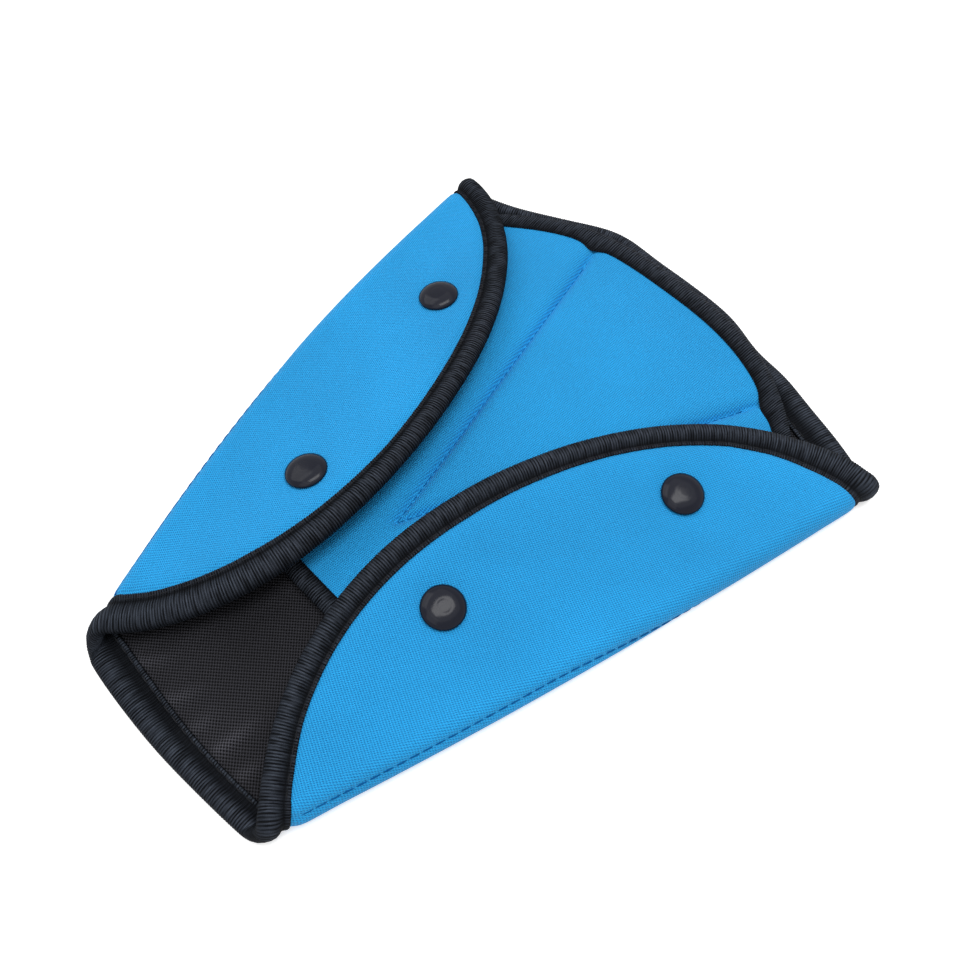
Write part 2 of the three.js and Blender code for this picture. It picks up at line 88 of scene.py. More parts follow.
# At these stations each flap reaches so much further than its plain edge, and the edge tape has
# this share of its full width; between the flaps both drift from left to right over DRIFT_WIDTH
DRIFT_WIDTH = 60.0
SHEET_HALF = 100.0
FLAP_STATIONS = (-118, -95, -70, -42, -10, 20, 44, 62, 80, 90, 100)
LEFT_GAIN = (0, 0, -0.2, -0.6, -0.6, -0.2, 0.5, 0.6, 0.4, 0.3, 0.2)
RIGHT_GAIN = (0, 0, 0, 0.3, 0.6, 1.5, 2.8, 4.0, 5.2, 5.2, 3.4)
LEFT_SHARE = (1.2, 1.2, 1.13, 0.92, 0.77, 0.80, 0.83, 0.84, 0.88, 0.88, 0.95)
RIGHT_SHARE = (0.95, 0.80, 0.78, 0.80, 0.81, 0.77, 0.75, 0.77, 0.84, 1.0, 1.15)
SWAY, SWAY_Y, SWAY_SPAN = 2.7, -10.0, 98.0
NARROW_PULL, WIDE_PULL = np.array((-71.8, 70.3)), np.array((-57.1, -4.7))
THICKNESS = 3.0
FACE_THICKNESS = 2.0
LINING_THICKNESS = 0.7
FOLD_RADIUS = THICKNESS + 3.0
MIDDLE_RADIUS = FOLD_RADIUS - THICKNESS / 2
FOLD_LENGTH = math.pi * MIDDLE_RADIUS
LIFT, LIFT_Y, LIFT_SPAN = 10.5, -9.4, 104.4
LIFT_SQUARE, LIFT_CUBE = 1.9, 0.9
END_REACH = 60.0
FLAP_SAMPLES = 1500


def lerp(a, b, t):
    return a + (b - a) * t


def smooth(t):
    t = np.clip(t, 0, 1)
    return t * t * (3 - 2 * t)


def sway(y):
    """How far the soft cover lies to the right of its straight centre line at station y."""
    return SWAY * np.clip((y - SWAY_Y) / SWAY_SPAN, -1, 1) ** 2


def base_half(y):
    """Half width of the flat underside at station y."""
    t = (y - NARROW_Y) / (WIDE_Y - NARROW_Y)
    return lerp(NARROW_HALF, WIDE_HALF, t) + FOLD_BOW * 4 * t * (1 - t) - FOLD_RADIUS


flap_narrow_y = NARROW_Y + NARROW_RISE
flap_wide_y = WIDE_Y - WIDE_RISE
narrow_corner = np.array((base_half(flap_narrow_y), flap_narrow_y))
wide_corner = np.array((base_half(flap_wide_y), flap_wide_y))
edge_handles = [narrow_corner, narrow_corner + NARROW_PULL, wide_corner + WIDE_PULL, wide_corner]


def length_along(places):
    """How far each place of a line is from its first one, measured along the line."""
    return np.concatenate(([0], np.cumsum(np.linalg.norm(np.diff(places, axis=0), axis=1))))


def free_edge(t):
    """x and y of a flap's free edge, from its narrow corner (0) to its wide corner (1)."""
    weights = [(1 - t) ** 3, 3 * t * (1 - t) ** 2, 3 * t * t * (1 - t), t ** 3]
    return [sum(w * handle[axis] for w, handle in zip(weights, edge_handles)) for axis in (0, 1)]


edge_table = free_edge(np.linspace(0, 1, FLAP_SAMPLES))
print("flap edge, innermost:", round(float(edge_table[0].min()), 1), "mm from the centre line")

# %% [markdown]
# Across, the map has three stretches: the flat underside, the half round of a fold, and a flap. On
# the real pad the folds hold a flap down at its two ends and the belt's channel lifts its free edge
# between them, so the flap rises there by a smooth curve. Bending a flat mesh would do it too, but
# a map can be asked for any place on the cloth, which the tape and the stitches need.

# %% Map from the flat sheet to the folded one
BASE_COLUMNS, FOLD_COLUMNS = 0.36, 0.16
FLAP_COLUMNS = 1 - BASE_COLUMNS - FOLD_COLUMNS


def waves_at(x, waves):
    """Height at x of soft waves, each given by its middle, its height and how far it spreads."""
    return sum(height * np.exp(-((x - middle) / spread) ** 2) for middle, height, spread in waves)


def by_station(a, y, left, right):
    """A value given along both flaps; between them, at the two ends, it drifts from left to right."""
    values = [np.interp(y, FLAP_STATIONS, side) for side in (left, right)]
    return lerp(*values, smooth(a / DRIFT_WIDTH + 0.5))


def sheet_coordinates(across, along):
    """a and y on the flat sheet, for a place on a grid from -1 to 1 across and from 0 to 1 along."""
    share = np.abs(across)
    base_share = np.clip(share / BASE_COLUMNS, 0, 1)
    fold_share = np.clip((share - BASE_COLUMNS) / FOLD_COLUMNS, 0, 1)
    flap_share = np.clip((share - BASE_COLUMNS - FOLD_COLUMNS) / FLAP_COLUMNS, 0, 1)
    edge_x, edge_y = free_edge((1 - np.cos(math.pi * along)) / 2)
    near_narrow = smooth(1 - (edge_y - flap_narrow_y) / END_REACH)
    near_wide = smooth(1 - (flap_wide_y - edge_y) / END_REACH)
    corner = 1 - fold_share ** CORNER_POWER
    narrow = -NARROW_RISE * corner - NARROW_BOW * (1 - base_share ** 2)
    wide = WIDE_RISE * corner + WIDE_BOW * np.cos(math.pi / 2 * base_share)
    narrow += waves_at(np.sign(across) * base_share * base_half(NARROW_Y), NARROW_WAVES) * corner
    wide += waves_at(np.sign(across) * base_share * base_half(WIDE_Y), WIDE_WAVES) * corner
    y = edge_y + near_narrow * narrow + near_wide * wide
    base = base_half(y)
    gain = by_station(across * SHEET_HALF, edge_y, LEFT_GAIN, RIGHT_GAIN)
    a = base * base_share + FOLD_LENGTH * fold_share + (base - edge_x + gain) * flap_share
    return np.sign(across) * a, y


def sheet_place(a, y, n):
    """Where the folded sheet has the place (a, y), n above its blue face; n is negative inside it."""
    side, along, base = np.sign(a), np.abs(a), base_half(y)
    turn = along - base
    angle = np.clip(turn, 0, FOLD_LENGTH) / MIDDLE_RADIUS
    fold_x = base + (FOLD_RADIUS + n) * np.sin(angle)
    fold_z = FOLD_RADIUS - (FOLD_RADIUS + n) * np.cos(angle)
    length = np.maximum(FOLD_RADIUS, base - np.interp(y, edge_table[1], edge_table[0]))
    lift = LIFT * np.maximum(0, 1 - ((y - LIFT_Y) / LIFT_SPAN) ** 2)
    t = np.clip((turn - FOLD_LENGTH) / length, 0, 2)
    slope = lift * (2 * LIFT_SQUARE * t - 3 * LIFT_CUBE * t ** 2) / length
    tilt = np.hypot(1, slope)
    flap_x = base - (turn - FOLD_LENGTH) + n * slope / tilt
    flap_z = 2 * FOLD_RADIUS + lift * (LIFT_SQUARE * t ** 2 - LIFT_CUBE * t ** 3) + n / tilt
    on_base, on_fold = turn <= 0, turn <= FOLD_LENGTH
    x = np.where(on_base, along, np.where(on_fold, fold_x, flap_x))
    z = np.where(on_base, -n, np.where(on_fold, fold_z, flap_z))
    return np.stack((np.where(on_base, a, side * x) + sway(y), y, z), axis=-1)


def sheet_frame(a, y):
    """How the folded place changes with a and with y, and the outward normal there."""
    step = 0.05
    by_a = (sheet_place(a + step, y, 0) - sheet_place(a - step, y, 0)) / (2 * step)
    by_y = (sheet_place(a, y + step, 0) - sheet_place(a, y - step, 0)) / (2 * step)
    normal = sheet_place(a, y, 0) - sheet_place(a, y, -1)
    return by_a, by_y, normal / np.linalg.norm(normal, axis=-1, keepdims=True)


# %% [markdown]
# The edge of the cover is one closed path: along the narrow end, up round a fold, along the flap,
# down round the fold again and along the wide end, and back on the other side. The tape, its
# stitches and the pressed strip beside it all follow this path, so it is measured once, at even
# steps, with the direction that leads inward over the cloth.

# %% Path of the cover's edge
RIB_PITCH = 0.95
STEPS_PER_RIB = 3
CORNER_ROUNDING = 1.2
INWARD_ROUNDING = 5.0
END_SAMPLES = 400


def smooth_round(values, spread):
    """Averages a closed run of values over neighbours, spread steps to each side."""
    weights = np.hanning(2 * spread + 3)
    weights /= weights.sum()
    padded = np.concatenate((values[-spread - 1:], values, values[:spread + 1]))
    return np.convolve(padded, weights, mode="valid")


def edge_path():
    """a and y of the edge at even steps, once round, and the length of one step."""
    fold_end = BASE_COLUMNS + FOLD_COLUMNS
    run = np.linspace(0, fold_end, END_SAMPLES)
    zero, one = np.zeros(END_SAMPLES), np.ones(END_SAMPLES)
    flap = np.linspace(0, 1, FLAP_SAMPLES)[1:-1]
    parts = [(run, zero), (np.ones(len(flap)), flap), (run[::-1], one)]
    across, along = (np.concatenate(line) for line in zip(*parts))
    right = np.stack(sheet_coordinates(across, along))
    left = np.stack(sheet_coordinates(-across[::-1], along[::-1]))[:, 1:-1]
    closed = np.concatenate((right, left, right[:, :1]), axis=1)
    places = sheet_place(closed[0], closed[1], -THICKNESS / 2)
    travelled = length_along(places)
    ribs = round(travelled[-1] / RIB_PITCH)
    even = np.linspace(0, travelled[-1], ribs * STEPS_PER_RIB + 1)[:-1]
    step = even[1]
    spread = round(CORNER_ROUNDING / step)
    a, y = (smooth_round(np.interp(even, travelled, line), spread) for line in closed)
    return a, y, step


def inward_steps(a, y, step):
    """Change of a and y that leads one millimetre inward over the cloth, at each step of the path."""
    places = sheet_place(a, y, 0)
    along = np.roll(places, -1, axis=0) - np.roll(places, 1, axis=0)
    along /= np.linalg.norm(along, axis=1, keepdims=True)
    by_a, by_y, normal = sheet_frame(a, y)
    inward = np.cross(normal, along)
    aa, ab, bb = (by_a * by_a).sum(1), (by_a * by_y).sum(1), (by_y * by_y).sum(1)
    to_a, to_y = (inward * by_a).sum(1), (inward * by_y).sum(1)
    det = aa * bb - ab * ab
    change = np.stack(((to_a * bb - to_y * ab) / det, (to_y * aa - to_a * ab) / det))
    change *= np.sign(change[1, 0])
    spread = round(INWARD_ROUNDING / step)
    return [smooth_round(line, spread) for line in change]


edge_a, edge_y, edge_step = edge_path()
edge_da, edge_dy = inward_steps(edge_a, edge_y, edge_step)
print("edge tape:", round(len(edge_a) * edge_step), "mm long,", len(edge_a) // STEPS_PER_RIB, "ribs")

# %% [markdown]
# Snap places and the row of stitches near the folds. A snap presses the foam down around it, and a
# stitched line draws it in, so both are needed before the cover is shaped.

# %% Snaps and stitch lines
snap_plan = [(-59.2, 48.4), (60.0, 48.7), (-33.7, -35.6), (34.7, -36.3)]


def flap_coordinates(x, y):
    """a and y of the place on a flap's blue face that lies over (x, y)."""
    return np.sign(x) * (2 * base_half(y) + FOLD_LENGTH - np.abs(x)), y


def snap_seat(x, y):
    """The point of the blue face under a snap and the direction in which the snap points."""
    a, y = flap_coordinates(np.array(x), np.array(y))
    return Vector(sheet_place(a, y, 0)), Vector(sheet_frame(a, y)[2])


snap_seats = [snap_seat(*plan) for plan in snap_plan]

STITCH_PITCH = 4.3
FOLD_STITCH_Y = (-108.0, 93.0)
NARROW_TURN, WIDE_TURN = 126, 62
SLIP_Y, SLIP_SPAN = -30, 75


def fold_stitch_coordinates(side, y):
    """a of the row of stitches that runs beside a fold; it slips under the fold at the wide end."""
    angle = np.radians(lerp(NARROW_TURN, WIDE_TURN, smooth((y - SLIP_Y) / SLIP_SPAN)))
    return side * (base_half(y) + angle * MIDDLE_RADIUS)


def fold_stitch_points(side):
    """Needle points of one row, at even steps."""
    y = np.linspace(*FOLD_STITCH_Y, 900)
    places = sheet_place(fold_stitch_coordinates(side, y), y, 0)
    travelled = length_along(places)
    even_y = np.interp(np.arange(0, travelled[-1], STITCH_PITCH), travelled, y)
    return fold_stitch_coordinates(side, even_y), even_y


fold_stitches = [fold_stitch_points(side) for side in (-1, 1)]
print("snaps at", [tuple(round(c, 1) for c in point) for point, axis in snap_seats])

# %% [markdown]
# Distances over the cloth are asked for thousands of times, so the places they are measured to are
# kept in search trees.

# %% Helpers for meshes
FLAT_MAP = "Flat"


def tree_of(places):
    tree = KDTree(len(places))
    for index, place in enumerate(places):
        tree.insert(place, index)
    tree.balance()
    return tree


def distances(tree, places):
    return np.array([tree.find(place)[2] for place in places])


def grid_mesh(columns, rows):
    """A flat grid from -1 to 1, and the place of each of its points across and along."""
    mesh = bmesh.new()
    bmesh.ops.create_grid(mesh, x_segments=columns, y_segments=rows, size=1)
    flat = np.array([vert.co[:2] for vert in mesh.verts])
    return mesh, flat[:, 0], flat[:, 1]


def move_points(mesh, places):
    """Puts each point of the mesh at its place, given in millimetres."""
    for vert, place in zip(mesh.verts, places):
        vert.co = Vector(place) * MM


def write_flat_map(mesh, flat):
    """Keeps each point's place on the flat cloth, in metres, as a UV map."""
    layer = mesh.loops.layers.uv.new(FLAT_MAP)
    for face in mesh.faces:
        for loop in face.loops:
            loop[layer].uv = flat[loop.vert.index] * MM


def lay_sheet(mesh, places, flat, upward):
    """Gives a grid its places and its flat map, closes its corners and faces it up or down."""
    move_points(mesh, places)
    write_flat_map(mesh, flat)
    bmesh.ops.remove_doubles(mesh, verts=mesh.verts[:], dist=0.02 * MM)
    bmesh.ops.recalc_face_normals(mesh, faces=mesh.faces[:])
    middle_face = min(mesh.faces, key=lambda face: face.calc_center_median().length)
    if (middle_face.normal.z > 0) != upward:
        bmesh.ops.reverse_faces(mesh, faces=mesh.faces[:])


def thicken(piece, name, thickness):
    """Gives a sheet its thickness, on the side that its faces turn away from."""
    wall = piece.modifiers.new(name, "SOLIDIFY")
    wall.thickness = thickness * MM
    wall.offset = -1


def finish_piece(mesh, name, material, smooth_faces=True):
    """Turns a bmesh into an object with one material, its place in its mesh."""
    for face in mesh.faces:
        face.smooth = smooth_faces
    data = bpy.data.meshes.new(name)
    mesh.to_mesh(data)
    mesh.free()
    piece = bpy.data.objects.new(name, data)
    bpy.context.scene.collection.objects.link(piece)
    data.materials.append(material)
    print(name, "-", len(data.polygons), "faces")
    return piece


edge_tree = tree_of(sheet_place(edge_a[::2], edge_y[::2], 0))
fold_line_trees = [tree_of(sheet_place(a, y, 0)) for a, y in fold_stitches]

# %% [markdown]
# Materials. Each effect of the fabrics is a node group: a tone that drifts over the cloth, knitted
# dots, crossed threads, and the ribs of an elastic tape. The groups give colours and heights only;
# each material has its own Principled shader, where constant values are set.

# %% Helpers for nodes
def set_input(tree, socket, value):
    """Links another socket to this one, or sets its value."""
    if isinstance(value, bpy.types.NodeSocket):
        tree.links.new(value, socket)
    else:
        socket.default_value = value


def add_node(tree, kind, inputs=(), **settings):
    """Adds a node; inputs gives sockets by name or number, as a value or as a socket to link."""
    node = tree.nodes.new(kind)
    for name, value in settings.items():
        setattr(node, name, value)
    for key, value in dict(inputs).items():
        set_input(tree, node.inputs[key], value)
    return node


def place_noise(tree, vector, scale, detail):
    return add_node(tree, "ShaderNodeTexNoise", {"Vector": vector, "Scale": scale, "Detail": detail})


def calc(tree, operation, *values):
    """A maths node; each value is a number or a socket."""
    return add_node(tree, "ShaderNodeMath", dict(enumerate(values)), operation=operation).outputs[0]


def wave(tree, vector, per_metre):
    """A cosine over the cloth, per_metre giving how many waves a metre has each way."""
    turns = (per_metre[0] * 2 * math.pi, per_metre[1] * 2 * math.pi, 0)
    dot = add_node(tree, "ShaderNodeVectorMath", {0: vector, 1: turns}, operation="DOT_PRODUCT")
    return calc(tree, "COSINE", dot.outputs["Value"])


def mix_colour(tree, factor, first, second):
    """The first colour where factor is 0, the second where it is 1."""
    node = add_node(tree, "ShaderNodeMix", data_type="RGBA")
    for socket, value in ((0, factor), (6, first), (7, second)):
        set_input(tree, node.inputs[socket], value)
    return node.outputs[2]


def new_group(name, inputs, outputs):
    """An empty node group with named sockets, its input node and its output node."""
    group = bpy.data.node_groups.new(name, "ShaderNodeTree")
    for title, kind in inputs.items():
        group.interface.new_socket(name=title, in_out="INPUT", socket_type="NodeSocket" + kind)
    for title, kind in outputs.items():
        group.interface.new_socket(name=title, in_out="OUTPUT", socket_type="NodeSocket" + kind)
    return group, group.nodes.new("NodeGroupInput"), group.nodes.new("NodeGroupOutput")


# %% Group: tone that drifts over a cloth
group, given, result = new_group(
    "Cloth tone",
    {"Vector": "Vector", "Color": "Color", "Amount": "Float", "Fibre Scale": "Float"},
    {"Color": "Color", "Fibre": "Float"},
)
drift = place_noise(group, given.outputs["Vector"], 18.0, 3.0)
fibre = place_noise(group, given.outputs["Vector"], given.outputs["Fibre Scale"], 2.0)
both = calc(group, "MULTIPLY_ADD", fibre.outputs["Fac"], 0.7, drift.outputs["Fac"])
centred = calc(group, "SUBTRACT", both, 0.85)
gain = calc(group, "MULTIPLY_ADD", centred, given.outputs["Amount"], 1.0)
scaled = add_node(group, "ShaderNodeVectorMath", {0: given.outputs["Color"], 3: gain}, operation="SCALE")
group.links.new(scaled.outputs[0], result.inputs["Color"])
group.links.new(fibre.outputs["Fac"], result.inputs["Fibre"])
cloth_tone = group

# %% Group: knitted dots
group, given, result = new_group("Knit dots", {"Vector": "Vector"}, {"Height": "Float", "Dots": "Float"})
WALES = (1320.0, 0.0)
COURSE_LEFT = (-460.0, 1350.0)
COURSE_RIGHT = (860.0, 1350.0)
waves = [wave(group, given.outputs["Vector"], per_metre) for per_metre in (WALES, COURSE_LEFT, COURSE_RIGHT)]
total = calc(group, "ADD", calc(group, "MULTIPLY", waves[0], 1.35), calc(group, "ADD", waves[1], waves[2]))
dots = calc(group, "MULTIPLY_ADD", total, 0.22, 0.33)
height = calc(group, "SUBTRACT", 1.0, dots)
group.links.new(dots, result.inputs["Dots"])
group.links.new(height, result.inputs["Height"])
knit_dots = group

# %% Group: crossed threads
group, given, result = new_group("Plain weave", {"Vector": "Vector"}, {"Height": "Float", "Gaps": "Float"})
WARP_DIAGONAL = (770.0, 790.0)
WEFT_DIAGONAL = (-650.0, 750.0)
first = wave(group, given.outputs["Vector"], WARP_DIAGONAL)
second = wave(group, given.outputs["Vector"], WEFT_DIAGONAL)
total = calc(group, "ADD", first, second)
height = calc(group, "MULTIPLY_ADD", total, 0.25, 0.5)
gaps = calc(group, "MULTIPLY_ADD", total, -0.42, 0.45)
group.links.new(height, result.inputs["Height"])
group.links.new(gaps, result.inputs["Gaps"])
plain_weave = group

# %% Group: ribs of an elastic tape, with painted light and shade
group, given, result = new_group("Tape ribs", {"Vector": "Vector"}, {"Height": "Float", "Light": "Float"})
RIBS = (1000 / RIB_PITCH, 0.0)
CROSS_THREADS = (0.0, 1900.0)
ribs = wave(group, given.outputs["Vector"], RIBS)
threads = wave(group, given.outputs["Vector"], CROSS_THREADS)
streaks_map = add_node(
    group, "ShaderNodeMapping", {"Vector": given.outputs["Vector"], "Scale": (1300.0, 130.0, 1.0)}
)
streaks = place_noise(group, streaks_map.outputs[0], 1.0, 2.0)
strands = calc(group, "MULTIPLY_ADD", threads, 0.1, streaks.outputs["Fac"])
height = calc(group, "MULTIPLY_ADD", ribs, 0.45, strands)
# Painted light and shade round the tape's section: how much lighter or darker its colour is made at each
# distance, in millimetres from its outer hem, lighter where light would fall on the bead and darker in the
# shaded channel
TAPE_GIRTH = 0.036
GIRTH_PAINTED_LIGHT = [
    (0.0, 0.1), (0.8, 0.6), (2.0, 0.5), (2.9, 0.05), (4.2, 0.4), (7.7, 1.0), (11.0, 0.55), (13.3, 0.3),
    (16.0, 0.65), (18.8, 1.0), (20.8, 0.5), (22.4, 0.12), (24.4, 0.08), (25.2, 0.8), (25.9, 0.7), (26.4, 0.1),
]
# The ramp paints light and shade onto the colour by the place round the section
around = add_node(group, "ShaderNodeSeparateXYZ", {"Vector": given.outputs["Vector"]}).outputs["Y"]
painted_roll_light = add_node(group, "ShaderNodeValToRGB", {"Fac": calc(group, "DIVIDE", around, TAPE_GIRTH)})
painted_roll_light.color_ramp.elements.remove(painted_roll_light.color_ramp.elements[1])
for place, light in GIRTH_PAINTED_LIGHT:
    stop = painted_roll_light.color_ramp.elements.new(place * MM / TAPE_GIRTH)
    stop.color = (light, light, light, 1)
# Lighter streaks on the rib crests: partly the tape's own yarn, partly painted glint
strand_and_glint = calc(group, "MULTIPLY_ADD", streaks.outputs["Fac"], 2.2, -0.65)
strand_and_glint = calc(group, "MAXIMUM", calc(group, "MULTIPLY_ADD", ribs, 0.4, strand_and_glint), 0.0)
group.links.new(height, result.inputs["Height"])
group.links.new(calc(group, "MULTIPLY", strand_and_glint, painted_roll_light.outputs["Color"]), result.inputs["Light"])
tape_ribs = group
print("node groups:", [g.name for g in bpy.data.node_groups])

# %% [markdown]
# The fabrics. The blue knit shows small dark dots between its loops, the lining shows its crossed
# threads with a painted glint on them and painted shade between them, and the tape has painted light
# on its ribs and bead and painted shade in its valleys. Pictures of cloth could give the same look,
# but these patterns are made of waves, so they stay sharp from near by.

# %% Fabric materials
def new_material(name, roughness, **sockets):
    material = bpy.data.materials.new(name)
    material.use_nodes = True
    tree = material.node_tree
    shader = tree.nodes["Principled BSDF"]
    shader.inputs["Roughness"].default_value = roughness
    for title, value in sockets.items():
        shader.inputs[title.replace("_", " ")].default_value = value
    return material, tree, shader


def place_group(tree, group, inputs):
    return add_node(tree, "ShaderNodeGroup", inputs, node_tree=group)


def raise_bump(tree, shader, height, distance, strength=1.0):
    inputs = {"Height": height, "Distance": distance, "Strength": strength}
    bump = add_node(tree, "ShaderNodeBump", inputs)
    tree.links.new(bump.outputs[0], shader.inputs["Normal"])


BLUE = (0.014, 0.385, 0.820, 1)
BLUE_DEEP = (0.001, 0.150, 0.440, 1)
# The lining's black threads carry a painted glint, and the gaps between them a painted shade
LINING_THREAD_GLINT = (0.042, 0.042, 0.050, 1)
LINING_GAP_SHADE = (0.0004, 0.0004, 0.0006, 1)
# The tape's black, painted lighter where light would catch its ribs and bead and darker in the shade of its
# valleys and channel
TAPE_PAINTED_LIT = (0.062, 0.074, 0.098, 1)
TAPE_PAINTED_SHADE = (0.0012, 0.0016, 0.0026, 1)


def knit_material(name, from_flat_map):
    """Blue knit. Sheets read their flat map; the pad, which is nearly level, reads its own place."""
    material, tree, shader = new_material(name, 0.8, Sheen_Weight=0.05, Specular_IOR_Level=0.36)
    if from_flat_map:
        place = add_node(tree, "ShaderNodeUVMap", uv_map=FLAT_MAP).outputs[0]
    else:
        place = add_node(tree, "ShaderNodeTexCoord").outputs["Object"]
    knit = place_group(tree, knit_dots, {"Vector": place})
    colour = mix_colour(tree, calc(tree, "MULTIPLY", knit.outputs["Dots"], 0.9), BLUE, BLUE_DEEP)
    tone_inputs = {"Vector": place, "Color": colour, "Amount": 0.42, "Fibre Scale": 1300.0}
    tone = place_group(tree, cloth_tone, tone_inputs)
    tree.links.new(tone.outputs["Color"], shader.inputs["Base Color"])
    height = calc(tree, "MULTIPLY_ADD", tone.outputs["Fibre"], 0.3, knit.outputs["Height"])
    raise_bump(tree, shader, height, 0.00018)
    return material


blue_knit = knit_material("Blue knit", True)
blue_pad = knit_material("Blue pad knit", False)

black_lining, tree, shader = new_material("Black weave", 0.66, Specular_IOR_Level=0.1)
place = add_node(tree, "ShaderNodeUVMap", uv_map=FLAT_MAP).outputs[0]
weave = place_group(tree, plain_weave, {"Vector": place})
# Lighter threads and darker gaps: the weave's own pattern, with painted glint on the threads and painted
# shade in the gaps
colour = mix_colour(tree, weave.outputs["Gaps"], LINING_THREAD_GLINT, LINING_GAP_SHADE)
tone = place_group(tree, cloth_tone, {"Vector": place, "Color": colour, "Amount": 0.5, "Fibre Scale": 1900.0})
# Painted light and shade: the colour is made lighter where the lining's folds and puckers stand out and
# darker where they sink
fold_light = add_node(tree, "ShaderNodeAttribute", attribute_name="PaintedFoldLight").outputs["Fac"]
fold_lit_colour = add_node(tree, "ShaderNodeVectorMath", {0: tone.outputs["Color"]}, operation="SCALE")
tree.links.new(calc(tree, "MULTIPLY_ADD", fold_light, 0.85, 0.96), fold_lit_colour.inputs["Scale"])
tree.links.new(fold_lit_colour.outputs[0], shader.inputs["Base Color"])
raise_bump(tree, shader, weave.outputs["Height"], 0.0005)

black_tape, tree, shader = new_material("Black ribbed tape", 0.7, Specular_IOR_Level=0.07)
place = add_node(tree, "ShaderNodeUVMap", uv_map=FLAT_MAP).outputs[0]
ribs = place_group(tree, tape_ribs, {"Vector": place})
# Painted light and shade: the tape is coloured lighter on its lit ribs and darker in their shaded valleys
colour = mix_colour(tree, ribs.outputs["Light"], TAPE_PAINTED_SHADE, TAPE_PAINTED_LIT)
tone = place_group(tree, cloth_tone, {"Vector": place, "Color": colour, "Amount": 0.5, "Fibre Scale": 1500.0})
tree.links.new(tone.outputs["Color"], shader.inputs["Base Color"])
raise_bump(tree, shader, ribs.outputs["Height"], 0.0003)
print("fabrics:", blue_knit.name, blue_pad.name, black_lining.name, black_tape.name)


# %% [markdown]
# Thread and the snaps. Thread is a twisted yarn, so its colour changes in fine bands. The snaps are
# glossy black; what makes them look real is a slightly uneven surface and a few faint rub marks.

# %% Thread and snap materials
def thread_material(name, light, dark):
    material, tree, shader = new_material(name, 0.75, Specular_IOR_Level=0.1)
    place = add_node(tree, "ShaderNodeTexCoord").outputs["Object"]
    twist = wave(tree, place, (1900.0, 2300.0))
    colour = mix_colour(tree, calc(tree, "MULTIPLY_ADD", twist, 0.5, 0.5), dark, light)
    tree.links.new(colour, shader.inputs["Base Color"])
    raise_bump(tree, shader, twist, 0.00005)
    return material


blue_thread = thread_material("Blue thread", (0.004, 0.15, 0.42, 1), (0.001, 0.08, 0.28, 1))
black_thread = thread_material("Black thread", (0.030, 0.032, 0.038, 1), (0.004, 0.004, 0.005, 1))

snap_black, tree, shader = new_material("Gloss black", 0.12, Specular_IOR_Level=0.2)
place = add_node(tree, "ShaderNodeTexCoord").outputs["Object"]
rub = place_noise(tree, place, 700.0, 4.0)
cloud = place_noise(tree, place, 160.0, 2.0)
colour = mix_colour(tree, cloud.outputs["Fac"], (0.003, 0.004, 0.011, 1), (0.006, 0.008, 0.018, 1))
tree.links.new(colour, shader.inputs["Base Color"])
tree.links.new(calc(tree, "MULTIPLY_ADD", rub.outputs["Fac"], 0.1, 0.12), shader.inputs["Roughness"])
raise_bump(tree, shader, cloud.outputs["Fac"], 0.000012)
print("threads and snaps:", blue_thread.name, black_thread.name, snap_black.name)


# %% [markdown]
# The cover is one grid, moved by the map and then given its thickness inwards. Before that the blue
# face is pressed: down beside the tape, down around each snap, and in along the rows of stitches by
# the folds, where it swells a little between the needle points. A simulation would have to find
# these few tenths of a millimetre by chance, so the cover is shaped by these plain distances.

# %% Relief of the blue face
TAPE_REACH = 9.0
TAPE_PRESS, TAPE_SLOPE = 0.95, 3.6
BESIDE_TAPE = 0.22
SNAP_PRESS, SNAP_RIM, SNAP_SLOPE = 0.6, 6.4, 6.0
STITCH_PRESS, NEEDLE_PRESS, THREAD_WIDTH = 0.42, 0.3, 0.9
BESIDE_STITCH, BESIDE_PLACE, BESIDE_WIDTH = 0.34, 2.4, 1.8
UNEVENNESS = 0.12


def tape_share(a, y):
    """How much of its full width the tape reaches: most at the corners, less along the flaps."""
    return by_station(a, y, LEFT_SHARE, RIGHT_SHARE)


def blue_relief(a, y):
    """How far the blue face stands above its plain place, in millimetres."""
    places = sheet_place(a, y, 0)
    edge = distances(edge_tree, places)
    beyond = edge - TAPE_REACH * tape_share(a, y)
    relief = -TAPE_PRESS * (1 - smooth((beyond + 0.6) / TAPE_SLOPE))
    relief += BESIDE_TAPE * smooth(beyond / 5) * (1 - smooth((beyond - 5) / 14))
    for point, axis in snap_seats:
        away = np.linalg.norm(places - np.array(point), axis=1)
        relief -= SNAP_PRESS * (1 - smooth((away - SNAP_RIM) / SNAP_SLOPE))
    for side, tree in zip((-1, 1), fold_line_trees):
        near = np.sign(a) == side
        line_a = fold_stitch_coordinates(side, y)
        from_line = np.abs(a - line_a) + 4 * (1 - near)
        needle = distances(tree, places)
        relief -= STITCH_PRESS * np.exp(-(from_line / THREAD_WIDTH) ** 2)
        relief -= NEEDLE_PRESS * np.exp(-(needle / THREAD_WIDTH) ** 2)
        outer_side = (side * (line_a - a) > 0) & near
        band = np.exp(-((from_line - BESIDE_PLACE) / BESIDE_WIDTH) ** 2)
        relief += BESIDE_STITCH * band * (smooth(needle / 2.6) - 0.55) * outer_side
    drift = UNEVENNESS * np.sin(a / 17 + 0.6 * np.sin(y / 23)) * np.sin(y / 19 + 1.3)
    return relief + drift * smooth((edge - 12) / 10)


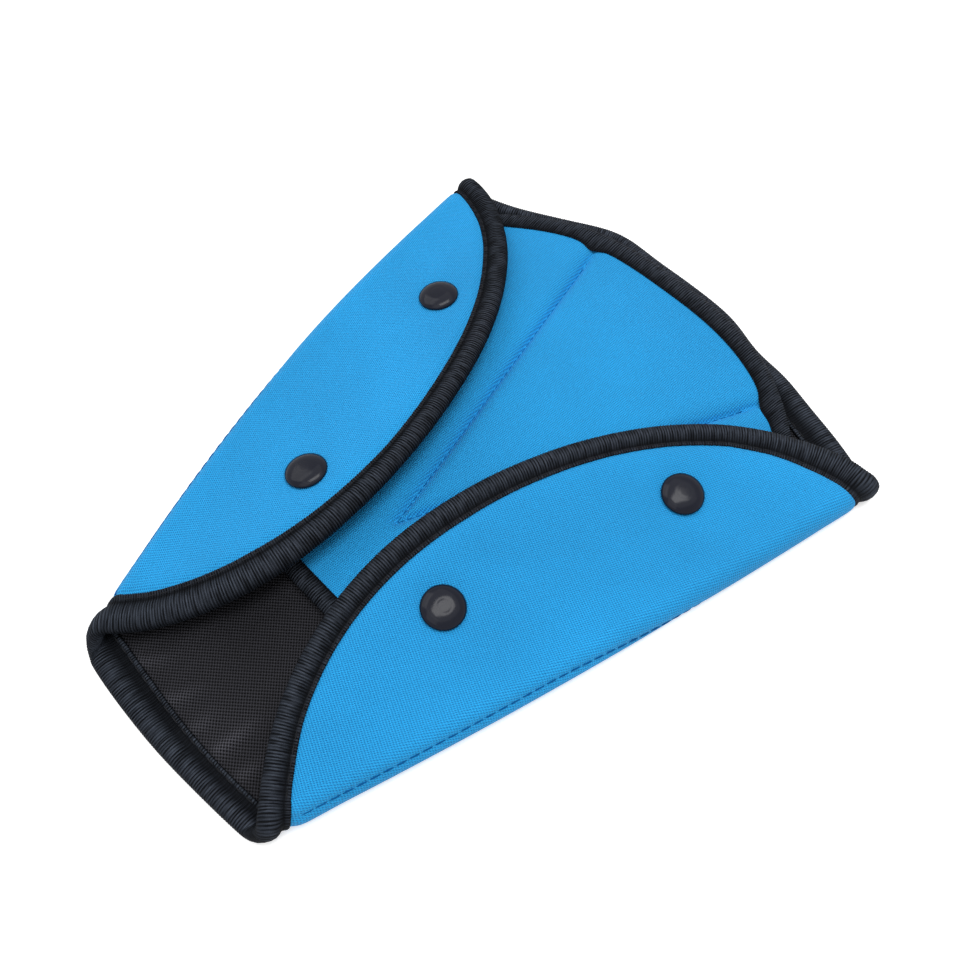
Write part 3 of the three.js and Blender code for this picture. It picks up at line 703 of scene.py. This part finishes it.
# %% Cover
# Cover and lining stop a little short of the tape's turn at both ends, so they never show through it
SET_BACK = 0.99
COVER_COLUMNS, COVER_ROWS = 300, 150
FOAM_THICKNESS = FACE_THICKNESS - 0.4
mesh, across, along = grid_mesh(COVER_COLUMNS, COVER_ROWS)
cover_a, cover_y = sheet_coordinates(across, (along + 1) / 2)
cover_y = cover_y * SET_BACK
relief = blue_relief(cover_a, cover_y)
places = sheet_place(cover_a, cover_y, relief)
places[:, 2] = np.maximum(places[:, 2], 0)
lay_sheet(mesh, places, np.stack((cover_a, cover_y), axis=1), upward=False)
cover = finish_piece(mesh, "folded_cover", blue_knit)
thicken(cover, "Foam thickness", FOAM_THICKNESS)
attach(cover, BODY)
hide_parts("cover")


# %% [markdown]
# The lining is the black cloth on the inside of the same sheet. It shows at the narrow end and in
# the belt channels. The seam of the narrow end draws it up in small puckers, which fade inwards,
# and it is a real sheet of cloth, with its own thickness.

# %% Lining
LINING_COLUMNS, LINING_ROWS = 220, 150
CLOTH_RISE = 0.15
PUCKER_PITCH, PUCKER_HEIGHT = 8.0, 0.22
SLACK_HEIGHT = 0.16
SMALL_FOLD_WIDTH = 2.2
FOLDS = [
    ((13.0, -122.0), (15.0, -98.0), 1.25), ((23.0, -122.0), (27.0, -104.0), 0.8),
    ((3.0, -122.0), (4.0, -106.0), 0.7), ((-12.0, -122.0), (-5.0, -104.0), 0.9),
    ((-30.0, -120.0), (-20.0, -106.0), 0.8),
]


def lining_relief(a, y):
    """How far the lining stands off the foam: puckers at the seam, slack, and the small folds."""
    places = sheet_place(a, y, -THICKNESS)
    edge = distances(edge_tree, places)
    puckers = np.sin(2 * math.pi * a / PUCKER_PITCH + 1.2 * np.sin(a / 9)) * np.exp(-(edge / 11) ** 2)
    slack = np.sin(a / 8 + y / 21) * np.sin(y / 11 - a / 29) * smooth((edge - 6) / 12)
    folds = np.zeros_like(a)
    for start, end, height in FOLDS:
        line = np.subtract(end, start)
        along = ((a - start[0]) * line[0] + (y - start[1]) * line[1]) / (line @ line)
        off = np.hypot(a - start[0] - along * line[0], y - start[1] - along * line[1])
        ends = smooth(along / 0.2) * smooth((1.1 - along) / 0.7)
        folds += height * np.exp(-(off / SMALL_FOLD_WIDTH) ** 2) * ends
    return PUCKER_HEIGHT * puckers + SLACK_HEIGHT * slack + folds * smooth((edge - 8.5) / 4)


def write_painted_fold_light(mesh, heights):
    """Keeps how far each point stands out of the plain cloth, for painted light on the raised folds and
    painted shade in their hollows.
    """
    layer = mesh.verts.layers.float.new("PaintedFoldLight")
    for vert, height in zip(mesh.verts, heights):
        vert[layer] = height


mesh, across, along = grid_mesh(LINING_COLUMNS, LINING_ROWS)
lining_a, lining_y = sheet_coordinates(across, (along + 1) / 2)
lining_y = lining_y * SET_BACK
relief = lining_relief(lining_a, lining_y)
# The relief is kept for the painted light and shade of the folds
write_painted_fold_light(mesh, relief)
places = sheet_place(lining_a, lining_y, -THICKNESS + CLOTH_RISE - relief)
lay_sheet(mesh, places, np.stack((lining_a, lining_y), axis=1), upward=True)
lining_area = sum(face.calc_area() for face in mesh.faces)
lining = finish_piece(mesh, "woven_lining", black_lining)
thicken(lining, "Cloth thickness", LINING_THICKNESS * 0.8)
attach(lining, BODY)
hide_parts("lining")

# %% [markdown]
# The edge tape is a ribbed elastic folded over the edge and sewn through. It could be an array of
# ribs along a curve, but the corners would tear it. Here its section is a closed loop of points,
# one for each column of a grid, and each row of the grid is one step of the edge path. The ribs are
# real: every third row stands out. Merging the first and last rows and columns closes the ring.

# %% Edge tape
tape_profile = [
    (9.2, -0.95), (9.25, -0.55), (9.0, -0.16), (8.5, -0.10), (7.9, -0.32), (7.1, -0.50),
    (6.4, -0.30), (5.4, 0.35), (4.2, 0.85), (2.6, 1.00), (0.9, 0.70), (-0.5, 0.05),
    (-1.2, -0.95), (-1.35, -2.1), (-1.2, -3.2), (-0.6, -4.3), (0.8, -5.0), (2.4, -5.15),
    (3.9, -4.8), (5.0, -4.05), (5.9, -3.5), (7.6, -3.45), (8.2, -3.8), (8.8, -3.9), (9.2, -3.45),
    (6.0, -3.25), (-0.6, -3.2), (-0.6, -1.0), (6.0, -1.15),
]
RIB_HEIGHT = 0.13
VISIBLE_POINTS = 25


def closed_strip(columns, rows, place_of):
    """A tube from a grid: place_of gives each point's place, and the grid's ends are merged."""
    mesh, across, along = grid_mesh(columns, rows)
    column = np.rint((across + 1) / 2 * columns).astype(int)
    row = np.rint((along + 1) / 2 * rows).astype(int)
    places, flat = place_of(column, row)
    move_points(mesh, places)
    write_flat_map(mesh, flat)
    bmesh.ops.remove_doubles(mesh, verts=mesh.verts[:], dist=0.004 * MM)
    bmesh.ops.recalc_face_normals(mesh, faces=mesh.faces[:])
    return mesh


def tape_places(column, row):
    count, stations = len(tape_profile), len(edge_a)
    profile = np.array(tape_profile)
    inward = np.roll(profile, -1, axis=0) - np.roll(profile, 1, axis=0)
    outward = np.stack((inward[:, 1], -inward[:, 0]), axis=1)
    outward /= np.linalg.norm(outward, axis=1, keepdims=True)
    shown = (np.arange(count) < VISIBLE_POINTS).astype(float)
    rib = RIB_HEIGHT * np.cos(2 * math.pi * row / STEPS_PER_RIB) * shown[column % count]
    t, n = (profile[column % count] - outward[column % count] * rib[:, None]).T
    station = row % stations
    t = np.where(t > 0, t * tape_share(edge_a[station], edge_y[station]), t)
    a = edge_a[station] + t * edge_da[station]
    y = edge_y[station] + t * edge_dy[station]
    places = sheet_place(a, y, n)
    places[:, 2] = np.maximum(places[:, 2], 0)
    girth = length_along(profile)
    girth = np.append(girth, girth[-1] + 1)
    return places, np.stack((row * edge_step, girth[column]), axis=1)


mesh = closed_strip(len(tape_profile), len(edge_a), tape_places)
tape = finish_piece(mesh, "edge_tape", black_tape)
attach(tape, BODY)
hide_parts("edge_binding")

# %% [markdown]
# The inner pad is quilted foam: two seams in a V press it flat along their lines and it swells
# between them. Cloth simulation does the swelling: the pad starts as a thin slab whose underside,
# sides, bound ends, seam lines and snap places are pinned, and a gentle pressure inside lifts the
# rest. The seams themselves are pressed in afterwards, on cuts made exactly along their lines.

# %% Shape of the pad
PAD_NARROW_Y, PAD_WIDE_Y = -60.0, 122.9
PAD_NARROW_BOW = 1.5
PAD_DROP, PAD_DROP_X, PAD_DROP_POWER, PAD_MIDDLE_X = 16.6, 64.0, 2.75, -4.0
PAD_NARROW_SIDE_Y, PAD_WIDE_SIDE_Y, PAD_SIDE_GAP = -61.0, 74.0, 1.0
PAD_REST = THICKNESS + 0.3
SEAM_APEX = np.array((-2.7, -23.6))
SEAM_ENDS = [np.array((-36.1, 110.1)), np.array((53.8, 100.1))]
PAD_BOUND, PAD_FREE = 0.07, 0.12
NARROW_LIFT, WIDE_MIDDLE_LIFT, WIDE_SIDE_LIFT = 1.3, 2.5, 1.3
LOW_CROWN, HIGH_CROWN = 3.6, 4.6
BOUND_THICKNESS, SIDE_THICKNESS, SIDE_POWER = 1.7, 1.3, 5


def pad_narrow_edge(x):
    return PAD_NARROW_Y - PAD_NARROW_BOW * (1 - (x / base_half(PAD_NARROW_Y)) ** 2)


def pad_wide_edge(x):
    return PAD_WIDE_Y - PAD_DROP * (np.abs(x - PAD_MIDDLE_X) / PAD_DROP_X) ** PAD_DROP_POWER


def pad_plan(u, v):
    """x and y of the pad's place at u from -1 to 1 across it and v from 0 to 1 along it."""
    half = base_half(lerp(PAD_NARROW_SIDE_Y, PAD_WIDE_SIDE_Y, v)) - PAD_SIDE_GAP
    x = u * half
    return x, lerp(pad_narrow_edge(x), pad_wide_edge(x), v)


def pad_heights(u, v):
    """Underside and top of the pad before it swells."""
    ends = np.clip((PAD_FREE - np.stack((v, 1 - v))) / (PAD_FREE - PAD_BOUND), 0, 1)
    at_side = np.clip((np.abs(pad_plan(u, v)[0]) - 48) / 18, 0, 1)
    wide_lift = lerp(WIDE_MIDDLE_LIFT, WIDE_SIDE_LIFT, at_side)
    bottom = PAD_REST + NARROW_LIFT * ends[0] + wide_lift * ends[1]
    puff = smooth((v - 0.2) / 0.4) * (1 - np.abs(u))
    crown = lerp(LOW_CROWN, HIGH_CROWN, puff)
    middle = lerp(crown, BOUND_THICKNESS, ends.max(axis=0))
    return bottom, bottom + lerp(middle, SIDE_THICKNESS, np.abs(u) ** SIDE_POWER)


def seam_distance(x, y):
    """Distance in plan to the nearer seam."""
    found = []
    for end in SEAM_ENDS:
        line = end - SEAM_APEX
        t = np.clip(((x - SEAM_APEX[0]) * line[0] + (y - SEAM_APEX[1]) * line[1]) / (line @ line), 0, 1.2)
        found.append(np.hypot(x - SEAM_APEX[0] - t * line[0], y - SEAM_APEX[1] - t * line[1]))
    return np.minimum(*found)


# %% Pad slab and its simulation
PAD_COLUMNS, PAD_ROWS = 84, 92
PAD_PRESSURE = 4.0
PAD_FRAMES = 20
MOST_SWELL = 1.9
PINNED_SEAM, PINNED_SNAP = 1.3, 6.5


def swell(piece, pinned):
    """Runs a short cloth simulation with pressure and keeps its result, capped, in the mesh."""
    start = np.array([vert.co for vert in piece.data.vertices])
    group = piece.vertex_groups.new(name="pinned")
    group.add([int(index) for index in np.flatnonzero(pinned)], 1.0, "REPLACE")
    cloth = piece.modifiers.new("Swell", "CLOTH")
    settings = cloth.settings
    settings.quality = 6
    settings.mass = 0.2
    settings.tension_stiffness = settings.compression_stiffness = 30
    settings.shear_stiffness = 20
    settings.bending_stiffness = 2.0
    settings.use_pressure = True
    settings.uniform_pressure_force = PAD_PRESSURE
    settings.vertex_group_mass = "pinned"
    settings.effector_weights.gravity = 0
    for step in range(1, PAD_FRAMES + 1):
        bpy.context.scene.frame_set(step)
    swollen = piece.evaluated_get(bpy.context.evaluated_depsgraph_get())
    places = np.array([vert.co for vert in swollen.data.vertices])
    piece.modifiers.remove(cloth)
    bpy.context.scene.frame_set(1)
    shift = places - start
    far = np.linalg.norm(shift, axis=1, keepdims=True)
    places = start + shift * np.minimum(1, MOST_SWELL * MM / np.maximum(far, 1e-9))
    print("swell, largest:", round(float(far.max()) / MM, 2), "mm, mean:", round(float(far.mean()) / MM, 2))
    for vert, place in zip(piece.data.vertices, places):
        vert.co = place


mesh = grid_mesh(PAD_COLUMNS, PAD_ROWS)[0]
raised = bmesh.ops.extrude_face_region(mesh, geom=mesh.faces[:])["geom"]
mesh.verts.ensure_lookup_table()
mesh.verts.index_update()
flat = np.array([vert.co[:2] for vert in mesh.verts])
u, v = flat[:, 0], (flat[:, 1] + 1) / 2
on_top = np.zeros(len(u), bool)
on_top[[part.index for part in raised if isinstance(part, bmesh.types.BMVert)]] = True
x, y = pad_plan(u, v)
bottom, top = pad_heights(u, v)
move_points(mesh, np.stack((x, y, np.where(on_top, top, bottom)), axis=1))
bmesh.ops.recalc_face_normals(mesh, faces=mesh.faces[:])
pad = finish_piece(mesh, "quilted_pad", blue_pad)
held = ~on_top | (np.abs(u) > 0.985) | (v < PAD_BOUND * 0.9) | (v > 1 - PAD_BOUND * 0.8)
held |= seam_distance(x, y) < PINNED_SEAM
for snap_x, snap_y in snap_plan:
    held |= np.hypot(x - snap_x, y - snap_y) < PINNED_SNAP
swell(pad, held)

# %% Pad seams
SEAM_DEPTH, SEAM_WIDTH = 1.9, 2.795
CREASE_DEPTH, CREASE_WIDTH = 1.3, 0.8
CUT_OFFSETS = (-1.6, -0.5, 0, 0.5, 1.6)
SEAM_PITCH = 3.2

mesh = bmesh.new()
mesh.from_mesh(pad.data)
bmesh.ops.subdivide_edges(mesh, edges=mesh.edges[:], cuts=1, use_grid_fill=True, smooth=0.0)
for end in SEAM_ENDS:
    line = end - SEAM_APEX
    across_seam = Vector((-line[1], line[0], 0)).normalized()
    for offset in CUT_OFFSETS:
        place = Vector((*SEAM_APEX, 0)) * MM + across_seam * offset * MM
        parts = mesh.verts[:] + mesh.edges[:] + mesh.faces[:]
        bmesh.ops.bisect_plane(mesh, geom=parts, dist=1e-7, plane_co=place, plane_no=across_seam)
places = np.array([vert.co for vert in mesh.verts]) / MM
share = places[:, 1] - pad_narrow_edge(places[:, 0])
share /= pad_wide_edge(places[:, 0]) - pad_narrow_edge(places[:, 0])
middle_height = PAD_REST + 1.6
away = seam_distance(places[:, 0], places[:, 1])
shown = smooth((places[:, 2] - middle_height) / 1.5)
press = SEAM_DEPTH * np.exp(-(away / SEAM_WIDTH) ** 2)
press += CREASE_DEPTH * np.exp(-(away / CREASE_WIDTH) ** 2)
press *= 1 - 0.6 * smooth((share - 0.90) / 0.07)
floor_height = PAD_REST + 0.9
places[:, 2] = np.where(shown > 0, np.maximum(places[:, 2] - press * shown, floor_height), places[:, 2])
move_points(mesh, places)
bmesh.ops.recalc_face_normals(mesh, faces=mesh.faces[:])
for face in mesh.faces:
    face.smooth = True
mesh.to_mesh(pad.data)
pad_surface = BVHTree.FromBMesh(mesh)
mesh.free()
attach(pad, BODY)
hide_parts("pad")
print("pad:", len(pad.data.polygons), "faces")

# %% [markdown]
# The pad's two ends are bound with the same ribbed tape. Where a seam runs into the wide end, the
# stitching pulls the tape further in and presses it flat, which gives the small notches in the edge
# of the blue face.

# %% End tapes of the pad
pad_profile = [
    (7.1, 0.0, 0.08), (7.15, 0.0, 0.5), (6.7, 0.0, 0.72), (6.0, 0.0, 0.62), (5.2, 0.0, 0.72),
    (4.0, 0.0, 0.98), (2.4, 0.0, 1.08), (0.8, 0.0, 0.95), (-0.5, 0.25, 0.75), (-1.15, 0.45, 0.45),
    (-1.3, 0.5, 0.0), (-1.15, 0.55, -0.4), (-0.5, 0.8, -0.6), (0.8, 1.0, -0.7), (4.0, 1.0, -0.75),
    (7.1, 1.0, -0.7), (7.1, 1.0, -0.1), (0.2, 1.0, -0.1), (0.2, 0.0, 0.05),
]
PAD_TAPE_SHARE = 0.97
NARROW_TAPE_REACH = 0.74
SEAM_OVERRUN = 1.06
GIRTH_START = 1.9
NOTCH_REACH, NOTCH_DEPTH, NOTCH_WIDTH = 1.9, 0.5, 4.2


def pad_tape(name, node, v_edge, v_inner, share, notches):
    """Tape over one end of the pad, with a notch where each seam ends; share scales its reach."""
    u = np.linspace(-PAD_TAPE_SHARE, PAD_TAPE_SHARE, 4000)
    x, y = pad_plan(u, np.full_like(u, v_edge))
    travelled = length_along(np.stack((x, y), axis=1))
    rows = round(travelled[-1] / RIB_PITCH) * STEPS_PER_RIB
    even = np.interp(np.linspace(0, travelled[-1], rows + 1), travelled, u)
    x, y = pad_plan(even, np.full_like(even, v_edge))
    inner_x, inner_y = pad_plan(even, np.full_like(even, v_inner))
    inward = np.stack((inner_x - x, inner_y - y), axis=1)
    inward /= np.linalg.norm(inward, axis=1, keepdims=True)
    bottom, top = pad_heights(even, np.full_like(even, v_edge))
    notch = waves_at(x, [(place, 1, NOTCH_WIDTH) for place in notches]) + np.zeros_like(x)
    profile = np.array(pad_profile)
    count = len(profile)
    girth = GIRTH_START + length_along(profile[:, ::2])
    girth = np.append(girth, girth[-1] + 1)

    def place_of(column, row):
        t, level, over = profile[column % count].T
        t = np.where(t > 0, t * share, t) + notch[row] * NOTCH_REACH * np.clip(t / 7, 0, 1)
        over = over + RIB_HEIGHT * np.cos(2 * math.pi * row / STEPS_PER_RIB) * np.sign(over)
        over = over - notch[row] * NOTCH_DEPTH * np.clip(t / 7, 0, 1) * (level < 0.5)
        height = lerp(top[row], bottom[row], level) + over
        places = np.stack((x[row] + inward[row, 0] * t, y[row] + inward[row, 1] * t, height), axis=1)
        return places, np.stack((travelled[-1] * row / rows, girth[column]), axis=1)

    mesh = closed_strip(count, rows, place_of)
    rims = [edge for edge in mesh.edges if edge.is_boundary]
    bmesh.ops.holes_fill(mesh, edges=rims, sides=count + 2)
    bmesh.ops.recalc_face_normals(mesh, faces=mesh.faces[:])
    piece = finish_piece(mesh, name, black_tape)
    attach(piece, BODY)
    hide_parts(node)
    return piece


seam_end_x = [SEAM_APEX[0] + (end - SEAM_APEX)[0] * SEAM_OVERRUN for end in SEAM_ENDS]
pad_tape("pad_tape_wide", "pad_binding_wide", 1.0, 1 - PAD_BOUND, 1.0, seam_end_x)
pad_tape("pad_tape_narrow", "pad_binding_narrow", 0.0, PAD_BOUND, NARROW_TAPE_REACH, [])


# %% [markdown]
# Stitches. Each is a short thread that lies on the cloth between two needle points and bends down
# into it at both ends, so a stretched sphere with few faces is enough. Rows of them follow the
# tapes, the folds and the seams of the pad.

# %% Rows of stitches
STITCH_INWARD = 7.75
OUTSIDE_LEVEL, INSIDE_LEVEL, FLOOR_GAP = -0.28, -3.84, 0.2
TAPE_THREAD, FOLD_THREAD, SEAM_THREAD = 0.26, 0.27, 0.24
SEAM_STITCHED = 0.985
RAY_HEIGHT = 40


def stitch_row(name, material, places, normals, radius, filled=0.8, sunk=0.3, closed=False):
    """One thread for each step between neighbouring places, with a gap at each needle point."""
    mesh = bmesh.new()
    count = len(places) if closed else len(places) - 1
    for k in range(count):
        start, end = Vector(places[k]), Vector(places[(k + 1) % len(places)])
        along = end - start
        normal = Vector(normals[k])
        across = normal.cross(along).normalized()
        turn = Matrix((along.normalized(), across, normal)).transposed().to_4x4()
        size = Matrix.Diagonal((along.length * filled / 2, radius, radius, 1))
        middle = (start + end) / 2 - normal * radius * sunk
        matrix = Matrix.Translation(middle * MM) @ turn @ size @ Matrix.Scale(MM, 4)
        bmesh.ops.create_uvsphere(mesh, u_segments=8, v_segments=6, radius=1, matrix=matrix)
    bmesh.ops.recalc_face_normals(mesh, faces=mesh.faces[:])
    piece = finish_piece(mesh, name, material)
    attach(piece, BODY)
    return piece


def edge_row(inward, height):
    """Needle places on the edge tape, inward from the edge and at a height above the blue face."""
    every = round(STITCH_PITCH / edge_step)
    pick = np.arange(0, len(edge_a), every)
    reach = inward * tape_share(edge_a[pick], edge_y[pick])
    a = edge_a[pick] + reach * edge_da[pick]
    y = edge_y[pick] + reach * edge_dy[pick]
    return sheet_place(a, y, height), sheet_frame(a, y)[2]


places, normals = edge_row(STITCH_INWARD, OUTSIDE_LEVEL)
places[:, 2] = np.maximum(places[:, 2], FLOOR_GAP)
stitch_row("tape_stitches_outside", black_thread, places, normals, TAPE_THREAD, closed=True)
places, normals = edge_row(STITCH_INWARD, INSIDE_LEVEL)
stitch_row("tape_stitches_inside", black_thread, places, -normals, TAPE_THREAD, closed=True)
for name, (a, y) in zip(("fold_stitches_left", "fold_stitches_right"), fold_stitches):
    places, normals = sheet_place(a, y, -0.42), sheet_frame(a, y)[2]
    stitch_row(name, blue_thread, places, normals, FOLD_THREAD, filled=0.86, sunk=-0.3)

for name, end in zip(("seam_stitches_left", "seam_stitches_right"), SEAM_ENDS):
    length = np.linalg.norm(end - SEAM_APEX)
    steps = np.arange(0, length * SEAM_STITCHED, SEAM_PITCH) / length
    places = []
    for step in steps:
        x, y = SEAM_APEX + (end - SEAM_APEX) * step
        hit = pad_surface.ray_cast(Vector((x, y, RAY_HEIGHT)) * MM, Vector((0, 0, -1)))[0]
        places.append((x, y, hit.z / MM))
    normals = np.tile((0.0, 0.0, 1.0), (len(places), 1))
    stitch_row(name, blue_thread, places, normals, SEAM_THREAD, filled=0.96, sunk=0.2)

# %% [markdown]
# The snaps. A cap is turned: half of its section is spun once round. It is a shallow dome with a
# small flat in the middle, ringed by a fine groove, and its skirt meets the pressed cloth. The
# sockets, studs and posts behind it are the frame's own solids, in the same gloss black.

# %% Snap caps
CAP_STEPS = 64
cap_profile = [
    (0.0, 2.60), (1.4, 2.58), (2.1, 2.56), (2.4, 2.51), (2.7, 2.52), (3.6, 2.42), (4.6, 2.22),
    (5.6, 1.90), (6.4, 1.47), (7.0, 1.02), (7.35, 0.64), (7.48, 0.26), (7.4, -0.1), (7.1, -0.25),
    (6.4, -0.25), (1.6, 0.2), (1.6, -4.5), (0.0, -4.5),
]


def snap_cap(index, point, axis):
    mesh = bmesh.new()
    line = [mesh.verts.new((r * MM, 0, z * MM)) for r, z in cap_profile]
    edges = [mesh.edges.new(pair) for pair in zip(line, line[1:])]
    bmesh.ops.spin(
        mesh, geom=line + edges, cent=(0, 0, 0), axis=(0, 0, 1), angle=2 * math.pi,
        steps=CAP_STEPS, use_merge=True,
    )
    bmesh.ops.remove_doubles(mesh, verts=mesh.verts[:], dist=0.001 * MM)
    bmesh.ops.recalc_face_normals(mesh, faces=mesh.faces[:])
    turn = Vector((0, 0, 1)).rotation_difference(axis).to_matrix().to_4x4()
    bmesh.ops.transform(mesh, matrix=Matrix.Translation(point * MM) @ turn, verts=mesh.verts[:])
    piece = finish_piece(mesh, f"snap_dome_{index}", snap_black)
    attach(piece, BODY)
    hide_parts(f"snap_cap_{index}")


for index, (point, axis) in enumerate(snap_seats, start=1):
    snap_cap(index, point, axis)

for name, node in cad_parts.items():
    if name.startswith(("snap_socket", "snap_stud", "snap_post")):
        node.data.materials.clear()
        node.data.materials.append(snap_black)

# %% [markdown]
# The room: a plain pale floor, a large soft lamp overhead with a narrower one inside it that the
# snaps mirror, softer ones from the left and the front, and a little light from all round. Floor
# and background are white only where they are seen or mirrored, so they light the object no more
# than its colours are written for.

# %% Floor
FLOOR_HALF = 4.0
FLOOR_SINK = 0.05
FLOOR_GLOW = 0.5


def where_seen(tree):
    """1 where the camera sees a surface, straight, mirrored or through glass, and otherwise 0."""
    rays = add_node(tree, "ShaderNodeLightPath").outputs
    seen = calc(tree, "MAXIMUM", rays["Is Camera Ray"], rays["Is Glossy Ray"])
    return calc(tree, "MAXIMUM", seen, rays["Is Transmission Ray"])


mesh = bmesh.new()
bmesh.ops.create_grid(mesh, x_segments=2, y_segments=2, size=FLOOR_HALF)
bmesh.ops.translate(mesh, vec=(0, 0, -FLOOR_SINK * MM), verts=mesh.verts[:])
floor_paint, tree, shader = new_material("Pale floor", 0.9)
shader.inputs["Base Color"].default_value = (0.86, 0.86, 0.86, 1)
shader.inputs["Emission Color"].default_value = (1, 1, 1, 1)
tree.links.new(calc(tree, "MULTIPLY", where_seen(tree), FLOOR_GLOW), shader.inputs["Emission Strength"])
floor = finish_piece(mesh, "floor", floor_paint, smooth_faces=False)


# %% Lamps and world
ROOM_LIGHT = 0.35


def soft_lamp(name, place, size, watts, spin=0.0):
    """A rectangular lamp that looks at the middle of the object, spun about the upright by spin."""
    lamp = bpy.data.objects.new(name, bpy.data.lights.new(name, "AREA"))
    bpy.context.scene.collection.objects.link(lamp)
    lamp.data.shape = "RECTANGLE"
    lamp.data.size, lamp.data.size_y = size
    lamp.data.energy = watts
    lamp.location = place
    turn = (-Vector(place)).to_track_quat("-Z", "Y").to_matrix()
    lamp.rotation_euler = (Matrix.Rotation(spin, 3, "Z") @ turn).to_euler()


soft_lamp("Overhead", (0.0, 0.2, 1.3), (2.0, 1.8), 6.3)
soft_lamp("Strip", (0.18, 0.14, 1.25), (0.4, 0.9), 6.5, spin=0.8)
soft_lamp("Left", (-1.1, -0.3, 1.2), (1.3, 1.1), 6)
soft_lamp("Front", (0.2, -0.85, 1.1), (0.9, 0.9), 2)

world = bpy.data.worlds.new("Studio")
bpy.context.scene.world = world
world.use_nodes = True
tree = world.node_tree
background = tree.nodes["Background"]
background.inputs["Color"].default_value = (1, 1, 1, 1)
strength = calc(tree, "MULTIPLY_ADD", where_seen(tree), 1 - ROOM_LIGHT, ROOM_LIGHT)
tree.links.new(strength, background.inputs["Strength"])
bpy.context.scene.view_settings.view_transform = "Standard"
